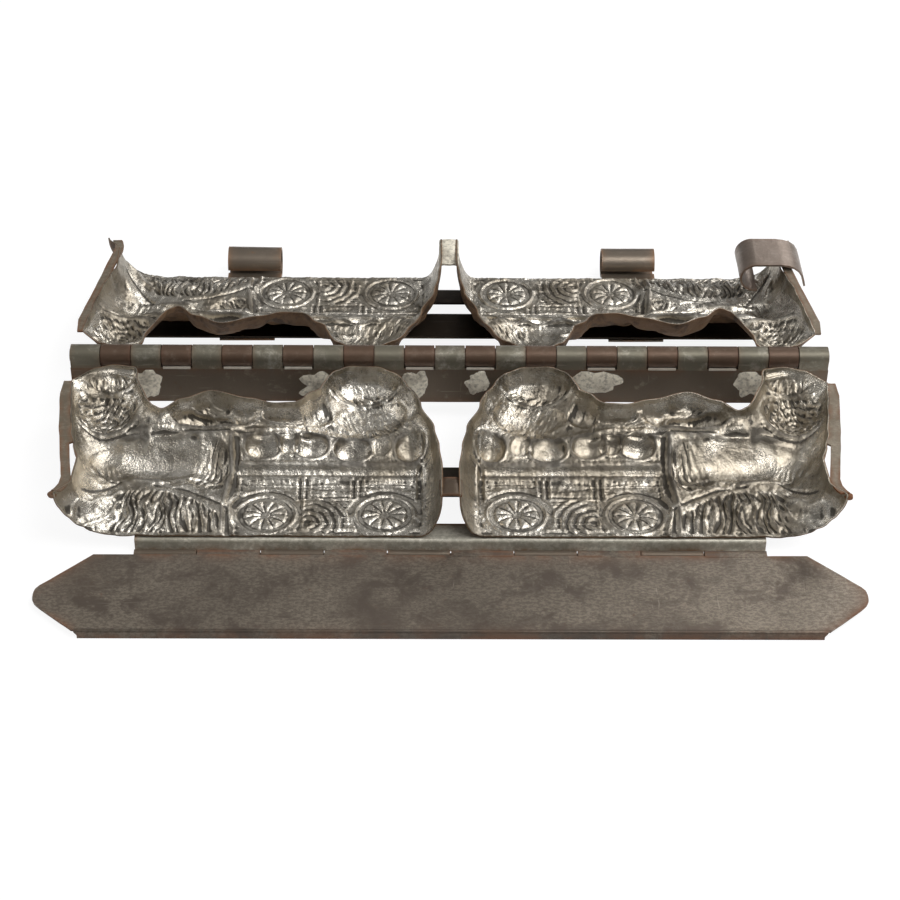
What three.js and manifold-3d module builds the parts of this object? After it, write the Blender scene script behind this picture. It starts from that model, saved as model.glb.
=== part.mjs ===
// A hinged double chocolate mould of tinned sheet, lying open on a table with its hollows up.
// Millimetres, +Z up, X along the long hinge, the front half towards -Y.
// Inside each half a point has three sizes: u, out from the middle plane; v, up the figure from its
// open base towards the hinge; and w, the depth of the hollow below the parting plane.
import * as THREE from "three";
import { mergeVertices } from "three/addons/utils/BufferGeometryUtils.js";
import Module from "manifold-3d";

const wasm = await Module();
wasm.setup();

// Driving dimensions
const sheet = 0.8; // thickness of the tinned sheet
const seam = 0.35; // gap left where two pieces are soldered face to face
const cutOverrun = 1;
const round = 2 * Math.PI;

// Stamped figure shells
const figureHeight = 70; // highest rim above the base
const headGap = 6; // hinge axis to the highest rim
const baseReach = figureHeight + headGap; // hinge axis to the open base of a figure
const innerEndGap = 3.2; // middle plane to the first rim
const outerEnd = 128.4; // middle plane to the last rim
const partingGap = 0.2; // each rim stops this far short of the parting plane
const cartDepth = 17.2; // inside depth at the side of the cart, the deepest place
const shellColumns = 37;
const shellRows = 14;

// Main hinge
const knuckleCount = 25;
const knuckleLength = 10.44;
const knuckleGap = 0.3;
const barrelRadius = 4.65;
const barrelSides = 16;
const pinClearance = 0.2;
const leafDrop = 16.8; // hinge axis to the lower edge of a leaf
const leafNotch = 3.8; // hinge axis to the bottom of a notch

// Base strip of the front half and the hinge of the closing flap
const stripLength = 204;
const stripInside = 7.5; // from the open base in under the shells
const stripTurnOut = 0.4; // from the open base out to the middle of the turned-down leg
const flapAxisOut = 4; // from the open base out to the flap's hinge
const flapAxisDrop = 3.5; // from the strip's top face down to the flap's hinge
const flapBarrelRadius = 1.6;
const flapKnuckles = 10;
const flapPinRadius = 0.6;
const flapBarrelSides = 12;

// Closing flap
const flapReach = 38.5; // from its hinge to its front edge
const flapLength = 262.6;
const flapEndShares = [[0.876, 0], [0.962, 0.33], [1, 0.5], [0.998, 0.62], [0.9, 1]]; // out along, back to front
const flapLipLength = 231;
const flapLipHeight = 3.2;

// Strips soldered over the backs of the shells, and the rear half's base strip
const crossFrom = 22.4; // from the open base
const crossWidth = 15;
const crossLength = 226;
const rearStripFrom = 6.4;
const rearStripWidth = 8.7;

// Spring latches under the rear strips, curled up beyond the open base
const latchWidth = 20;
const latchCurlRadius = 5.3; // to the middle of the sheet
const latchCurlOut = 11.6; // from the open base to the middle of the curl
const latchCurlShare = 0.79;
const latchSteps = 16;
const latchPlaceShares = { left: -0.36, right: 0.334 }; // from the middle, of the base strip's length

// The loose clip on the outer end of the rear right shell
const clipWidth = 18;
const clipBowRadius = 5.3;
const clipFrom = 0.5; // from the open base
const clipInset = 1.5; // the clip's seat, in from the figures' outer ends
const clipSteps = 10;

// End ties, saddles between neighbouring shells, and solder
const tieWidth = 2.6;
const tieBaseShare = 0.11;
const tieTopShare = 0.86;
const tieLean = 6.95; // the tie's top stands this much further out than its foot
const saddleLength = 11;
const saddleDepth = 2.4;
const solderThickness = 0.5;
const solderGap = 0.1;
// Solder patches on the front leaf: middle along a figure, width, and height down the leaf, as shares.
const patchPlaceShares = {
  outer_left: [-0.781, 0.088, 0.71],
  inner_left: [-0.406, 0.08, 0.74],
  centre_left: [-0.062, 0.064, 0.65],
  centre_right: [0.058, 0.048, 0.68],
  inner_right: [0.414, 0.088, 0.54],
  outer_right: [0.789, 0.072, 0.6],
};

const colours = {
  tin: { color: 0xb9b5aa, roughness: 0.32, metalness: 0.95 },
  agedTin: { color: 0x5c554c, roughness: 0.5, metalness: 0.85 },
  rustyTin: { color: 0x5a4236, roughness: 0.6, metalness: 0.7 },
  solder: { color: 0x9b968c, roughness: 0.55, metalness: 0.8 },
  springSteel: { color: 0x4a4441, roughness: 0.5, metalness: 0.85 },
};
const materials = Object.fromEntries(
  Object.entries(colours).map(([name, look]) => [name, new THREE.MeshStandardMaterial({ name, ...look })]),
);

const hingeLength = knuckleCount * knuckleLength;
const shellBack = cartDepth + sheet + partingGap; // depth of the shells' plain backs
const stripTop = -(shellBack + seam);
const flapAxisZ = stripTop - flapAxisDrop;
const tableZ = flapAxisZ - flapBarrelRadius; // the flap's hinge stands on the table
const flapAxisY = -(baseReach + flapAxisOut);
const stripMiddle = stripTop - sheet / 2;

// Solids

function toSolid(geometry) {
  const plain = geometry.index ? geometry.toNonIndexed() : geometry.clone();
  plain.deleteAttribute("normal");
  plain.deleteAttribute("uv");
  const merged = mergeVertices(plain, 1e-4);
  return new wasm.Manifold(
    new wasm.Mesh({
      numProp: 3,
      vertProperties: new Float32Array(merged.attributes.position.array),
      triVerts: new Uint32Array(merged.index.array),
    }),
  );
}

function toGeometry(solid) {
  const mesh = solid.getMesh();
  const geometry = new THREE.BufferGeometry();
  geometry.setAttribute("position", new THREE.BufferAttribute(new Float32Array(mesh.vertProperties), 3));
  geometry.setIndex(new THREE.BufferAttribute(new Uint32Array(mesh.triVerts), 1));
  geometry.computeVertexNormals();
  return geometry;
}

function join(geometries) {
  return toGeometry(geometries.map(toSolid).reduce((a, b) => a.add(b)));
}

function polygon(points) {
  return new THREE.Shape(points.map(([x, y]) => new THREE.Vector2(x, y)));
}

// A box between two corners.
function block(low, high) {
  const size = new THREE.Vector3().subVectors(high, low);
  const centre = new THREE.Vector3().addVectors(low, high).multiplyScalar(0.5);
  return new THREE.BoxGeometry(size.x, size.y, size.z).translate(centre.x, centre.y, centre.z);
}

// Extrudes an outline drawn in (y, z) along X, from one x to another.
function alongX(shape, from, to) {
  const geometry = new THREE.ExtrudeGeometry(shape, { depth: to - from, bevelEnabled: false, curveSegments: 1 });
  const turn = new THREE.Matrix4().makeBasis(
    new THREE.Vector3(0, 1, 0),
    new THREE.Vector3(0, 0, 1),
    new THREE.Vector3(1, 0, 0),
  );
  return geometry.applyMatrix4(turn).translate(from, 0, 0);
}

// Extrudes an outline drawn in (x, y) up Z, from one z to another.
function alongZ(shape, from, to) {
  const geometry = new THREE.ExtrudeGeometry(shape, { depth: to - from, bevelEnabled: false, curveSegments: 1 });
  return geometry.translate(0, 0, from);
}

function circlePoints(y, z, radius, sides) {
  return Array.from({ length: sides }, (_, i) => [
    y + radius * Math.cos((round * i) / sides),
    z + radius * Math.sin((round * i) / sides),
  ]);
}

// A hinge knuckle: a rolled tube round the axis at (y, z).
function knuckle(y, z, radius, sides, from, to) {
  const shape = polygon(circlePoints(y, z, radius, sides));
  shape.holes.push(new THREE.Path(circlePoints(y, z, radius - sheet, sides).map(([a, b]) => new THREE.Vector2(a, b))));
  return alongX(shape, from, to);
}

function pin(y, z, radius, sides, length) {
  return alongX(polygon(circlePoints(y, z, radius, sides)), -length / 2, length / 2);
}

function smooth(t) {
  const c = THREE.MathUtils.clamp(t, 0, 1);
  return c * c * (3 - 2 * c);
}

// A smooth curve through [place, value] knots, level at each knot.
function through(knots, place) {
  const next = knots.findIndex(([at]) => at >= place);
  if (next === 0) return knots[0][1];
  if (next < 0) return knots[knots.length - 1][1];
  const [a, b] = [knots[next - 1], knots[next]];
  return a[1] + (b[1] - a[1]) * smooth((place - a[0]) / (b[0] - a[0]));
}

// The figure: an animal that draws a cart of eggs, with a second animal riding on the eggs.
// Rim of the hollow: along the figure from the middle of the mould, and up, as shares.
const crestShares = [
  [0, 0.78], [0.035, 0.965], [0.12, 1], [0.24, 1], [0.305, 0.95], [0.335, 0.84], [0.36, 0.7],
  [0.42, 0.685], [0.49, 0.73], [0.59, 0.79], [0.68, 0.72], [0.735, 0.635], [0.77, 0.68],
  [0.795, 0.86], [0.84, 0.985], [0.91, 1], [0.97, 0.97], [1, 0.87],
];
// Both ends of the rim move in from the ends of the figure, up the figure, as shares of its height.
const innerEndShares = [[0, 0], [0.2, 0], [0.357, 0.008], [0.5, 0.021], [0.686, 0.057], [0.857, 0.085], [1, 0.106]];
const outerEndShares = [
  [0, 0.019], [0.1, 0.0575], [0.27, 0.0607], [0.36, 0.046], [0.47, 0.031],
  [0.657, 0.017], [0.77, 0.0085], [0.857, 0.003], [1, 0.03],
];
// Depth of the hollow by height, as shares: behind the cart, and behind the animal that draws it.
const cartDepthShares = [[0, 1], [0.335, 1], [0.43, 0.83], [0.447, 0.76], [0.62, 0.36], [1, 0.36]];
const animalDepthShares = [[0, 1], [0.16, 0.8], [0.36, 0.77], [0.6, 0.28], [1, 0.28]];
const cartLengthShare = 0.525;
const blendShare = 0.035;
// Swellings of the hollow: along, up, radius along, radius up, depth, as shares of the figure's size.
const swellingShares = [
  [0.21, 0.69, 0.112, 0.165, 0.24], // rider
  [0.22, 0.885, 0.09, 0.07, 0.13], // rider's head
  [0.36, 0.75, 0.045, 0.12, 0.1], // rider's arm
  [0.909, 0.72, 0.088, 0.157, 0.26], // head
  [0.905, 0.52, 0.085, 0.075, 0.14], // neck
  [0.75, 0.46, 0.13, 0.085, 0.13], // body
  [0.605, 0.4, 0.045, 0.11, 0.09], // haunch
  [0.625, 0.675, 0.085, 0.075, 0.1], // hump
  [0.482, 0.535, 0.032, 0.048, 0.1], // eggs
  [0.415, 0.545, 0.03, 0.046, 0.1],
  [0.35, 0.55, 0.036, 0.054, 0.12],
  [0.25, 0.53, 0.04, 0.05, 0.1],
  [0.082, 0.53, 0.035, 0.06, 0.12],
];
const topWallLow = 6; // the wall under the rim curves over this much, at its dips
const topWallHigh = 12; // and at the heads
const topWallFromShare = 0.63;
const innerWall = 7;
const outerWallLow = 22;
const outerWallHigh = 12;
const wallTurnShare = 0.4; // the outer wall steepens up to this height

const figureLength = outerEnd - innerEndGap;
const innerEndAt = (v) => innerEndGap + figureLength * through(innerEndShares, v / figureHeight);
const outerEndAt = (v) => outerEnd - figureLength * through(outerEndShares, v / figureHeight);
const crestAt = (share) => figureHeight * through(crestShares, share);

function onFigure(across, up) {
  const v = up * crestAt(across);
  const u = THREE.MathUtils.lerp(innerEndAt(v), outerEndAt(v), across);
  return [u, v];
}

const crestSteps = 120;
const crestLine = Array.from({ length: crestSteps + 1 }, (_, i) => onFigure(i / crestSteps, 1));

function crestDistance(u, v) {
  let least = Infinity;
  for (let i = 0; i < crestSteps; i++) {
    const [[au, av], [bu, bv]] = [crestLine[i], crestLine[i + 1]];
    const [du, dv] = [bu - au, bv - av];
    const t = THREE.MathUtils.clamp(((u - au) * du + (v - av) * dv) / (du * du + dv * dv), 0, 1);
    least = Math.min(least, Math.hypot(u - au - t * du, v - av - t * dv));
  }
  return least;
}

// A wall that starts square to the parting plane and curves over into a flat bottom.
function wall(distance, reach) {
  const t = 1 - THREE.MathUtils.clamp(distance / reach, 0, 1);
  return Math.sqrt(1 - t * t);
}

function depthAt(u, v) {
  const up = v / figureHeight;
  const along = (u - innerEndGap) / figureLength;
  const plain = THREE.MathUtils.lerp(
    through(cartDepthShares, up),
    through(animalDepthShares, up),
    smooth((along - cartLengthShare) / blendShare),
  );
  const swelling = swellingShares.reduce(
    (sum, [at, height, wide, tall, rise]) =>
      sum + rise * Math.exp(-(((along - at) / wide) ** 2) - ((up - height) / tall) ** 2),
    0,
  );
  const outerWall = THREE.MathUtils.lerp(outerWallLow, outerWallHigh, smooth(up / wallTurnShare));
  const rise = smooth((up - topWallFromShare) / (1 - topWallFromShare));
  const topWall = THREE.MathUtils.lerp(topWallLow, topWallHigh, rise);
  const walls =
    wall(crestDistance(u, v), topWall) * wall(u - innerEndAt(v), innerWall) * wall(outerEndAt(v) - u, outerWall);
  return cartDepth * Math.min(plain + swelling, 1) * walls;
}

// Columns and rows lie closer together near the rim, where the wall is steep.
const { lerp } = THREE.MathUtils;
const columnAt = (i) => lerp((1 - Math.cos((Math.PI * i) / shellColumns)) / 2, i / shellColumns, 0.5);
const rowAt = (j) => lerp(Math.sin((Math.PI * j) / shellRows / 2), j / shellRows, 0.5);

// One stamped shell: the hollow's surface, the same surface one sheet further out, and the cut edges.
function shell(side, half) {
  const inside = [];
  for (let i = 0; i <= shellColumns; i++) {
    for (let j = 0; j <= shellRows; j++) {
      const [u, v] = onFigure(columnAt(i), rowAt(j));
      const rim = i === 0 || i === shellColumns || j === shellRows;
      inside.push(new THREE.Vector3(u, v, rim ? 0 : depthAt(u, v)));
    }
  }
  const at = (i, j) => i * (shellRows + 1) + j;
  const outside = inside.map((point, index) => {
    const [i, j] = [Math.floor(index / (shellRows + 1)), index % (shellRows + 1)];
    const alongU = new THREE.Vector3().subVectors(
      inside[at(Math.min(i + 1, shellColumns), j)],
      inside[at(Math.max(i - 1, 0), j)],
    );
    const alongV = new THREE.Vector3().subVectors(
      inside[at(i, Math.min(j + 1, shellRows))],
      inside[at(i, Math.max(j - 1, 0))],
    );
    const normal = new THREE.Vector3().crossVectors(alongU, alongV);
    if (i === 0 || i === shellColumns || j === shellRows) normal.z = 0;
    if (j === 0) normal.y = 0;
    if (normal.z < 0) normal.negate();
    if (normal.z === 0) normal.copy(awayFromFigure(i, j));
    return point.clone().addScaledVector(normal.normalize(), sheet);
  });
  const points = [...inside, ...outside];
  const faces = [];
  const count = inside.length;
  for (let i = 0; i < shellColumns; i++) {
    for (let j = 0; j < shellRows; j++) {
      const [a, b, c, d] = [at(i, j), at(i + 1, j), at(i + 1, j + 1), at(i, j + 1)];
      faces.push([a, c, b], [a, d, c], [a + count, b + count, c + count], [a + count, c + count, d + count]);
    }
  }
  const edge = [];
  for (let i = 0; i < shellColumns; i++) edge.push(at(i, 0));
  for (let j = 0; j < shellRows; j++) edge.push(at(shellColumns, j));
  for (let i = shellColumns; i > 0; i--) edge.push(at(i, shellRows));
  for (let j = shellRows; j > 0; j--) edge.push(at(0, j));
  edge.forEach((a, k) => {
    const b = edge[(k + 1) % edge.length];
    faces.push([a, b, b + count], [a, b + count, a + count]);
  });
  const placed = points.map(({ x, y, z }) => new THREE.Vector3(side * x, half * (baseReach - y), -z - partingGap));
  const mirrored = side * half > 0;
  const position = faces.flatMap((face) => (mirrored ? face : [...face].reverse()).flatMap((k) => placed[k].toArray()));
  return new THREE.BufferGeometry().setAttribute("position", new THREE.Float32BufferAttribute(position, 3));
}

// The way out of the figure at a point of the rim, in the parting plane.
function awayFromFigure(i, j) {
  if (i === 0) return new THREE.Vector3(-1, 0, 0);
  if (i === shellColumns) return new THREE.Vector3(1, 0, 0);
  const [before, after] = [onFigure(columnAt(i - 1), 1), onFigure(columnAt(i + 1), 1)];
  return new THREE.Vector3(before[1] - after[1], after[0] - before[0], 0);
}

// A hinge leaf with every other knuckle of the barrel, hanging at the front or the back of the axis.
function hingeLeaf(half, first, drop) {
  const outer = half * barrelRadius;
  const inner = half * (barrelRadius - sheet);
  const start = -hingeLength / 2;
  const pieces = [];
  const outline = [[start, -drop]];
  for (let k = 0; k < knuckleCount; k++) {
    const own = k % 2 === first;
    const [from, to] = [start + k * knuckleLength, start + (k + 1) * knuckleLength];
    if (own) {
      const [a, b] = [k === 0 ? from : from + knuckleGap / 2, k === knuckleCount - 1 ? to : to - knuckleGap / 2];
      pieces.push(knuckle(0, 0, barrelRadius, barrelSides, a, b));
      outline.push([a, 0], [b, 0]);
    } else {
      const [a, b] = [k === 0 ? from : from - knuckleGap / 2, k === knuckleCount - 1 ? to : to + knuckleGap / 2];
      outline.push([a, -leafNotch], [b, -leafNotch]);
    }
  }
  outline.push([start + hingeLength, -drop]);
  const comb = alongZ(polygon(outline.reverse()), Math.min(outer, inner), Math.max(outer, inner));
  comb.rotateX(Math.PI / 2);
  comb.scale(1, -1, 1);
  pieces.push(flipped(comb));
  return join(pieces);
}

// Turns every face round, after a mirroring.
function flipped(geometry) {
  const plain = geometry.index ? geometry.toNonIndexed() : geometry;
  const p = plain.attributes.position.array;
  for (let t = 0; t < p.length; t += 9) {
    for (let k = 0; k < 3; k++) [p[t + 3 + k], p[t + 6 + k]] = [p[t + 6 + k], p[t + 3 + k]];
  }
  return plain;
}

const hingePin = () =>
  pin(0, 0, barrelRadius - sheet - pinClearance, barrelSides, hingeLength + 2 * pinClearance);

// Knuckles of the flap's hinge that belong to the strip (0) or to the flap (1).
function flapKnucklePieces(first) {
  const length = stripLength / flapKnuckles;
  return Array.from({ length: flapKnuckles }, (_, k) => k)
    .filter((k) => k % 2 === first)
    .map((k) => {
      const from = -stripLength / 2 + k * length + knuckleGap / 2;
      return [from, from + length - knuckleGap];
    });
}

// The strip under the front shells turns down at the open base and out to the flap's hinge.
function frontStrip() {
  const turn = -(baseReach + stripTurnOut);
  const low = flapAxisZ - flapBarrelRadius + sheet / 2;
  const path = [[-(baseReach - stripInside), stripMiddle], [turn, stripMiddle], [turn, low]];
  const pieces = [alongX(ribbon(path), -stripLength / 2, stripLength / 2)];
  for (const [from, to] of flapKnucklePieces(0)) {
    pieces.push(
      block(new THREE.Vector3(from, flapAxisY, low - sheet / 2), new THREE.Vector3(to, turn, low + sheet / 2)),
      knuckle(flapAxisY, flapAxisZ, flapBarrelRadius, flapBarrelSides, from, to),
    );
  }
  return join(pieces);
}

// The flap: a plate with pointed ends, a lip turned down in front and its knuckles.
function closingFlap() {
  const top = flapAxisZ + flapBarrelRadius;
  const back = flapAxisY - flapBarrelRadius - knuckleGap;
  const front = flapAxisY - flapReach;
  const at = (share) => THREE.MathUtils.lerp(back, front, share);
  const half = flapEndShares.map(([out, from]) => [(out * flapLength) / 2, at(from)]);
  const plate = polygon([...half.map(([x, y]) => [-x, y]), ...[...half].reverse()]);
  const pieces = [
    alongZ(plate, top - sheet, top),
    block(
      new THREE.Vector3(-flapLipLength / 2, front, top - flapLipHeight),
      new THREE.Vector3(flapLipLength / 2, front + sheet, top - sheet / 2),
    ),
  ];
  for (const [from, to] of flapKnucklePieces(1)) {
    pieces.push(
      block(new THREE.Vector3(from, back - sheet, top - sheet), new THREE.Vector3(to, flapAxisY, top)),
      knuckle(flapAxisY, flapAxisZ, flapBarrelRadius, flapBarrelSides, from, to),
    );
  }
  return join(pieces);
}

// A flat strip across the backs of both shells of a half.
function crossStrip(half, from, width, length) {
  const low = half > 0 ? baseReach - from - width : -(baseReach - from);
  return block(
    new THREE.Vector3(-length / 2, low, stripTop - sheet),
    new THREE.Vector3(length / 2, low + width, stripTop),
  );
}

// A ribbon of sheet that follows a path, as one outline with mitred corners.
function ribbon(path) {
  const last = path.length - 1;
  const normals = path.slice(1).map(([y, z], i) => {
    const [dy, dz] = [y - path[i][0], z - path[i][1]];
    const length = Math.hypot(dy, dz);
    return [-dz / length, dy / length];
  });
  const shift = (i, way) => {
    const [a, b] = [normals[Math.max(i - 1, 0)], normals[Math.min(i, last - 1)]];
    const reach = (way * sheet) / (1 + a[0] * b[0] + a[1] * b[1]);
    return [path[i][0] + (a[0] + b[0]) * (reach / 2), path[i][1] + (a[1] + b[1]) * (reach / 2)];
  };
  return polygon([...path.map((_, i) => shift(i, 1)), ...path.map((_, i) => shift(i, -1)).reverse()]);
}

// A flat tie along the outer end of a shell, from its foot to its head.
function endTie(side, half) {
  const inset = outerEnd + sheet + seam;
  const points = [
    [inset - tieLean, figureHeight * tieBaseShare],
    [inset - tieLean + tieWidth, figureHeight * tieBaseShare],
    [inset + tieWidth, figureHeight * tieTopShare],
    [inset, figureHeight * tieTopShare],
  ].map(([u, v]) => [side * u, half * (baseReach - v)]);
  const shape = side * half > 0 ? points.reverse() : points;
  return alongZ(polygon(shape), -partingGap - sheet, -partingGap);
}

// The saddle that joins two neighbouring shells at their bases: a short roof of sheet.
function saddle(half) {
  const side = innerEndGap - sheet - seam;
  const low = half > 0 ? baseReach - saddleLength : -baseReach;
  const path = [[-side, -partingGap - saddleDepth], [0, -partingGap - sheet], [side, -partingGap - saddleDepth]];
  const roof = alongZ(ribbon(path), 0, saddleLength);
  roof.rotateX(Math.PI / 2);
  return roof.translate(0, low + saddleLength, 0);
}

// Solder run out on the front leaf beside a head: an irregular thin patch, as shares of its size.
const patchShares = [[-0.5, -0.3], [-0.2, -0.5], [0.3, -0.42], [0.5, -0.1], [0.34, 0.3], [0.05, 0.5], [-0.4, 0.36]];
function solderPatch(share, widthShare, heightShare) {
  const x = Math.sign(share) * innerEndGap + share * figureLength;
  const [width, height] = [widthShare * figureLength, heightShare * leafDrop];
  const centre = -leafNotch - seam - height / 2;
  const points = patchShares.map(([a, b]) => [x + a * width, centre + b * height]);
  const patch = alongZ(polygon(points), 0, solderThickness);
  patch.rotateX(Math.PI / 2);
  return patch.translate(0, -(barrelRadius + solderGap), 0);
}

// A spring latch: a flat tongue under both rear strips, curled up beyond the open base.
function latch(middle) {
  const level = stripTop - sheet - seam - sheet / 2;
  const curlY = baseReach + latchCurlOut;
  const curlZ = tableZ + latchCurlRadius + sheet / 2;
  const touch = Math.PI + Math.asin((curlZ - level) / latchCurlRadius);
  const path = [[baseReach - crossFrom - crossWidth, level]];
  for (let i = 0; i <= latchSteps; i++) {
    const angle = touch + (round * latchCurlShare * i) / latchSteps;
    path.push([curlY + latchCurlRadius * Math.cos(angle), curlZ + latchCurlRadius * Math.sin(angle)]);
  }
  return alongX(ribbon(path), middle - latchWidth / 2, middle + latchWidth / 2);
}

// A loose clip hooks over the outer end of the rear right shell: its bow in the hollow, one jaw outside.
const hookShares = [[0.64, -0.98], [0.45, -0.2], [-0.1, 0.38], [-1.1, 0.66]]; // of the bow's radius
const hookMiddleShares = [-2.8, -0.3];
function hookClip() {
  const place = ([a, b]) => [outerEnd - clipInset + a * clipBowRadius, b * clipBowRadius];
  const path = hookShares.map(place);
  const middle = place(hookMiddleShares);
  for (let i = 0; i <= clipSteps; i++) {
    const angle = THREE.MathUtils.lerp(0.44, 1.56, i / clipSteps) * Math.PI;
    path.push([middle[0] + clipBowRadius * Math.cos(angle), middle[1] + clipBowRadius * Math.sin(angle)]);
  }
  const clip = alongX(ribbon(path.map(([x, z]) => [-x, z])), 0, clipWidth);
  clip.rotateZ(Math.PI / 2);
  return clip.translate(0, baseReach - clipFrom - clipWidth, 0);
}

function namedMesh(name, geometry, material) {
  const mesh = new THREE.Mesh(geometry, material);
  mesh.name = name;
  return mesh;
}

// Assembly
const model = new THREE.Group();
const sides = { left: -1, right: 1 };
const halves = { front: -1, rear: 1 };
const leafMaterial = { front: materials.agedTin, rear: materials.rustyTin };
for (const [part, half] of Object.entries(halves)) {
  for (const [where, side] of Object.entries(sides)) {
    model.add(namedMesh(`${part}_${where}_shell`, shell(side, half), materials.tin));
    model.add(namedMesh(`${part}_${where}_end_tie`, endTie(side, half), materials.agedTin));
  }
  model.add(namedMesh(`${part}_hinge_leaf`, hingeLeaf(half, half > 0 ? 1 : 0, leafDrop), leafMaterial[part]));
  model.add(namedMesh(`${part}_cross_strip`, crossStrip(half, crossFrom, crossWidth, crossLength), materials.agedTin));
  model.add(namedMesh(`${part}_saddle`, saddle(half), materials.solder));
}
model.add(namedMesh("front_base_strip", frontStrip(), materials.agedTin));
const rearStrip = crossStrip(1, rearStripFrom, rearStripWidth, stripLength);
model.add(namedMesh("rear_base_strip", rearStrip, materials.agedTin));
model.add(namedMesh("hinge_pin", hingePin(), materials.rustyTin));
const flapPin = pin(flapAxisY, flapAxisZ, flapPinRadius, flapBarrelSides, stripLength);
model.add(namedMesh("flap_hinge_pin", flapPin, materials.agedTin));
model.add(namedMesh("closing_flap", closingFlap(), materials.agedTin));
for (const [where, size] of Object.entries(patchPlaceShares)) {
  model.add(namedMesh(`${where}_solder_patch`, solderPatch(...size), materials.solder));
}
for (const [where, share] of Object.entries(latchPlaceShares)) {
  model.add(namedMesh(`${where}_spring_latch`, latch(share * stripLength), materials.springSteel));
}
model.add(namedMesh("end_clip", hookClip(), materials.springSteel));

const box = new THREE.Box3().setFromObject(model);
const centre = box.getCenter(new THREE.Vector3());
model.position.set(-centre.x, -centre.y, -box.min.z);
const mould = new THREE.Group();
mould.add(model);

const out = (name, ...values) => console.log(name, values.map((value) => value.toFixed(3)).join(" "));
out("hinge axis", -centre.x, -centre.y, -box.min.z);
out("flap axis", -centre.x, flapAxisY - centre.y, flapAxisZ - box.min.z);
out("size", ...box.getSize(new THREE.Vector3()).toArray());

export default mould;
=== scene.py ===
import bpy
import math
import numpy as np
from mathutils import Matrix, Vector


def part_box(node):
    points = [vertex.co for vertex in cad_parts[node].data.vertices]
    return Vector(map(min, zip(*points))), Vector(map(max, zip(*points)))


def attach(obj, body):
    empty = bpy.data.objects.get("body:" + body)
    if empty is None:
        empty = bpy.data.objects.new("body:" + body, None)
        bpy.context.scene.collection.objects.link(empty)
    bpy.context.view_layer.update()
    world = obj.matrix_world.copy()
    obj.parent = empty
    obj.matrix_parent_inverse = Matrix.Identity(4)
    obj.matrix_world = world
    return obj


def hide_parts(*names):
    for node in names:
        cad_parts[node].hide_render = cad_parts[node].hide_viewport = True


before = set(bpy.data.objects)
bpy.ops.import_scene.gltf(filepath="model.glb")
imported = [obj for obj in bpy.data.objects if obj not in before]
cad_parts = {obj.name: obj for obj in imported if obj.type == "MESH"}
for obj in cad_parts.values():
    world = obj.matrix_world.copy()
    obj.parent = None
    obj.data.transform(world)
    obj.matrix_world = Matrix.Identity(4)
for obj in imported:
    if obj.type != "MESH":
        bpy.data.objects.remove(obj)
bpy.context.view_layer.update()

mm = 0.001

# the hinge axis and the open base are read from the solids, so everything follows them
pinLow, pinHigh = (np.array(corner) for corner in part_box("hinge_pin"))
hinge = (pinLow + pinHigh) / 2
flapPinLow, flapPinHigh = (np.array(corner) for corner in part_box("flap_hinge_pin"))
flapAxis = (flapPinLow + flapPinHigh) / 2

# mesh helpers
def makePiece(name, verts, faces, material, body, nodes, smoothAngle=40, masks=None):
    # a mesh that rides on a body and stands in for the solids named in nodes
    mesh = bpy.data.meshes.new(name)
    mesh.from_pydata([tuple(v) for v in verts], [], [tuple(int(i) for i in f) for f in faces])
    mesh.validate()
    for maskName, values in (masks or {}).items():
        layer = mesh.attributes.new(maskName, "FLOAT", "POINT")
        layer.data.foreach_set("value", np.asarray(values, dtype=np.float32))
    mesh.polygons.foreach_set("use_smooth", [True] * len(mesh.polygons))
    mesh.set_sharp_from_angle(angle=math.radians(smoothAngle))
    mesh.materials.append(material)
    piece = bpy.data.objects.new(name, mesh)
    bpy.context.scene.collection.objects.link(piece)
    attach(piece, body)
    if nodes:
        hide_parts(*nodes)
    return piece


def smoothStep(t):
    t = np.clip(t, 0, 1)
    return t * t * (3 - 2 * t)


def throughKnots(knots, place):
    # a soft curve through knots of (place, value)
    xs = np.array([k[0] for k in knots])
    ys = np.array([k[1] for k in knots])
    place = np.clip(place, xs[0], xs[-1])
    i = np.clip(np.searchsorted(xs, place, side="left") - 1, 0, len(xs) - 2)
    t = smoothStep((place - xs[i]) / (xs[i + 1] - xs[i]))
    return ys[i] + (ys[i + 1] - ys[i]) * t


def valueNoise(x, y, seed):
    # smooth lattice noise in -1..1, the same each run
    table = np.random.default_rng(seed).uniform(-1, 1, (64, 64))
    xi, yi = np.floor(x).astype(int), np.floor(y).astype(int)
    fx, fy = smoothStep(x - xi), smoothStep(y - yi)
    a, b = table[xi % 64, yi % 64], table[(xi + 1) % 64, yi % 64]
    c, d = table[xi % 64, (yi + 1) % 64], table[(xi + 1) % 64, (yi + 1) % 64]
    return (a * (1 - fx) + b * fx) * (1 - fy) + (c * (1 - fx) + d * fx) * fy


def noiseAt(x, y, seed):
    # the same noise at a single place
    return float(valueNoise(np.array(x), np.array(y), seed))


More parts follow.
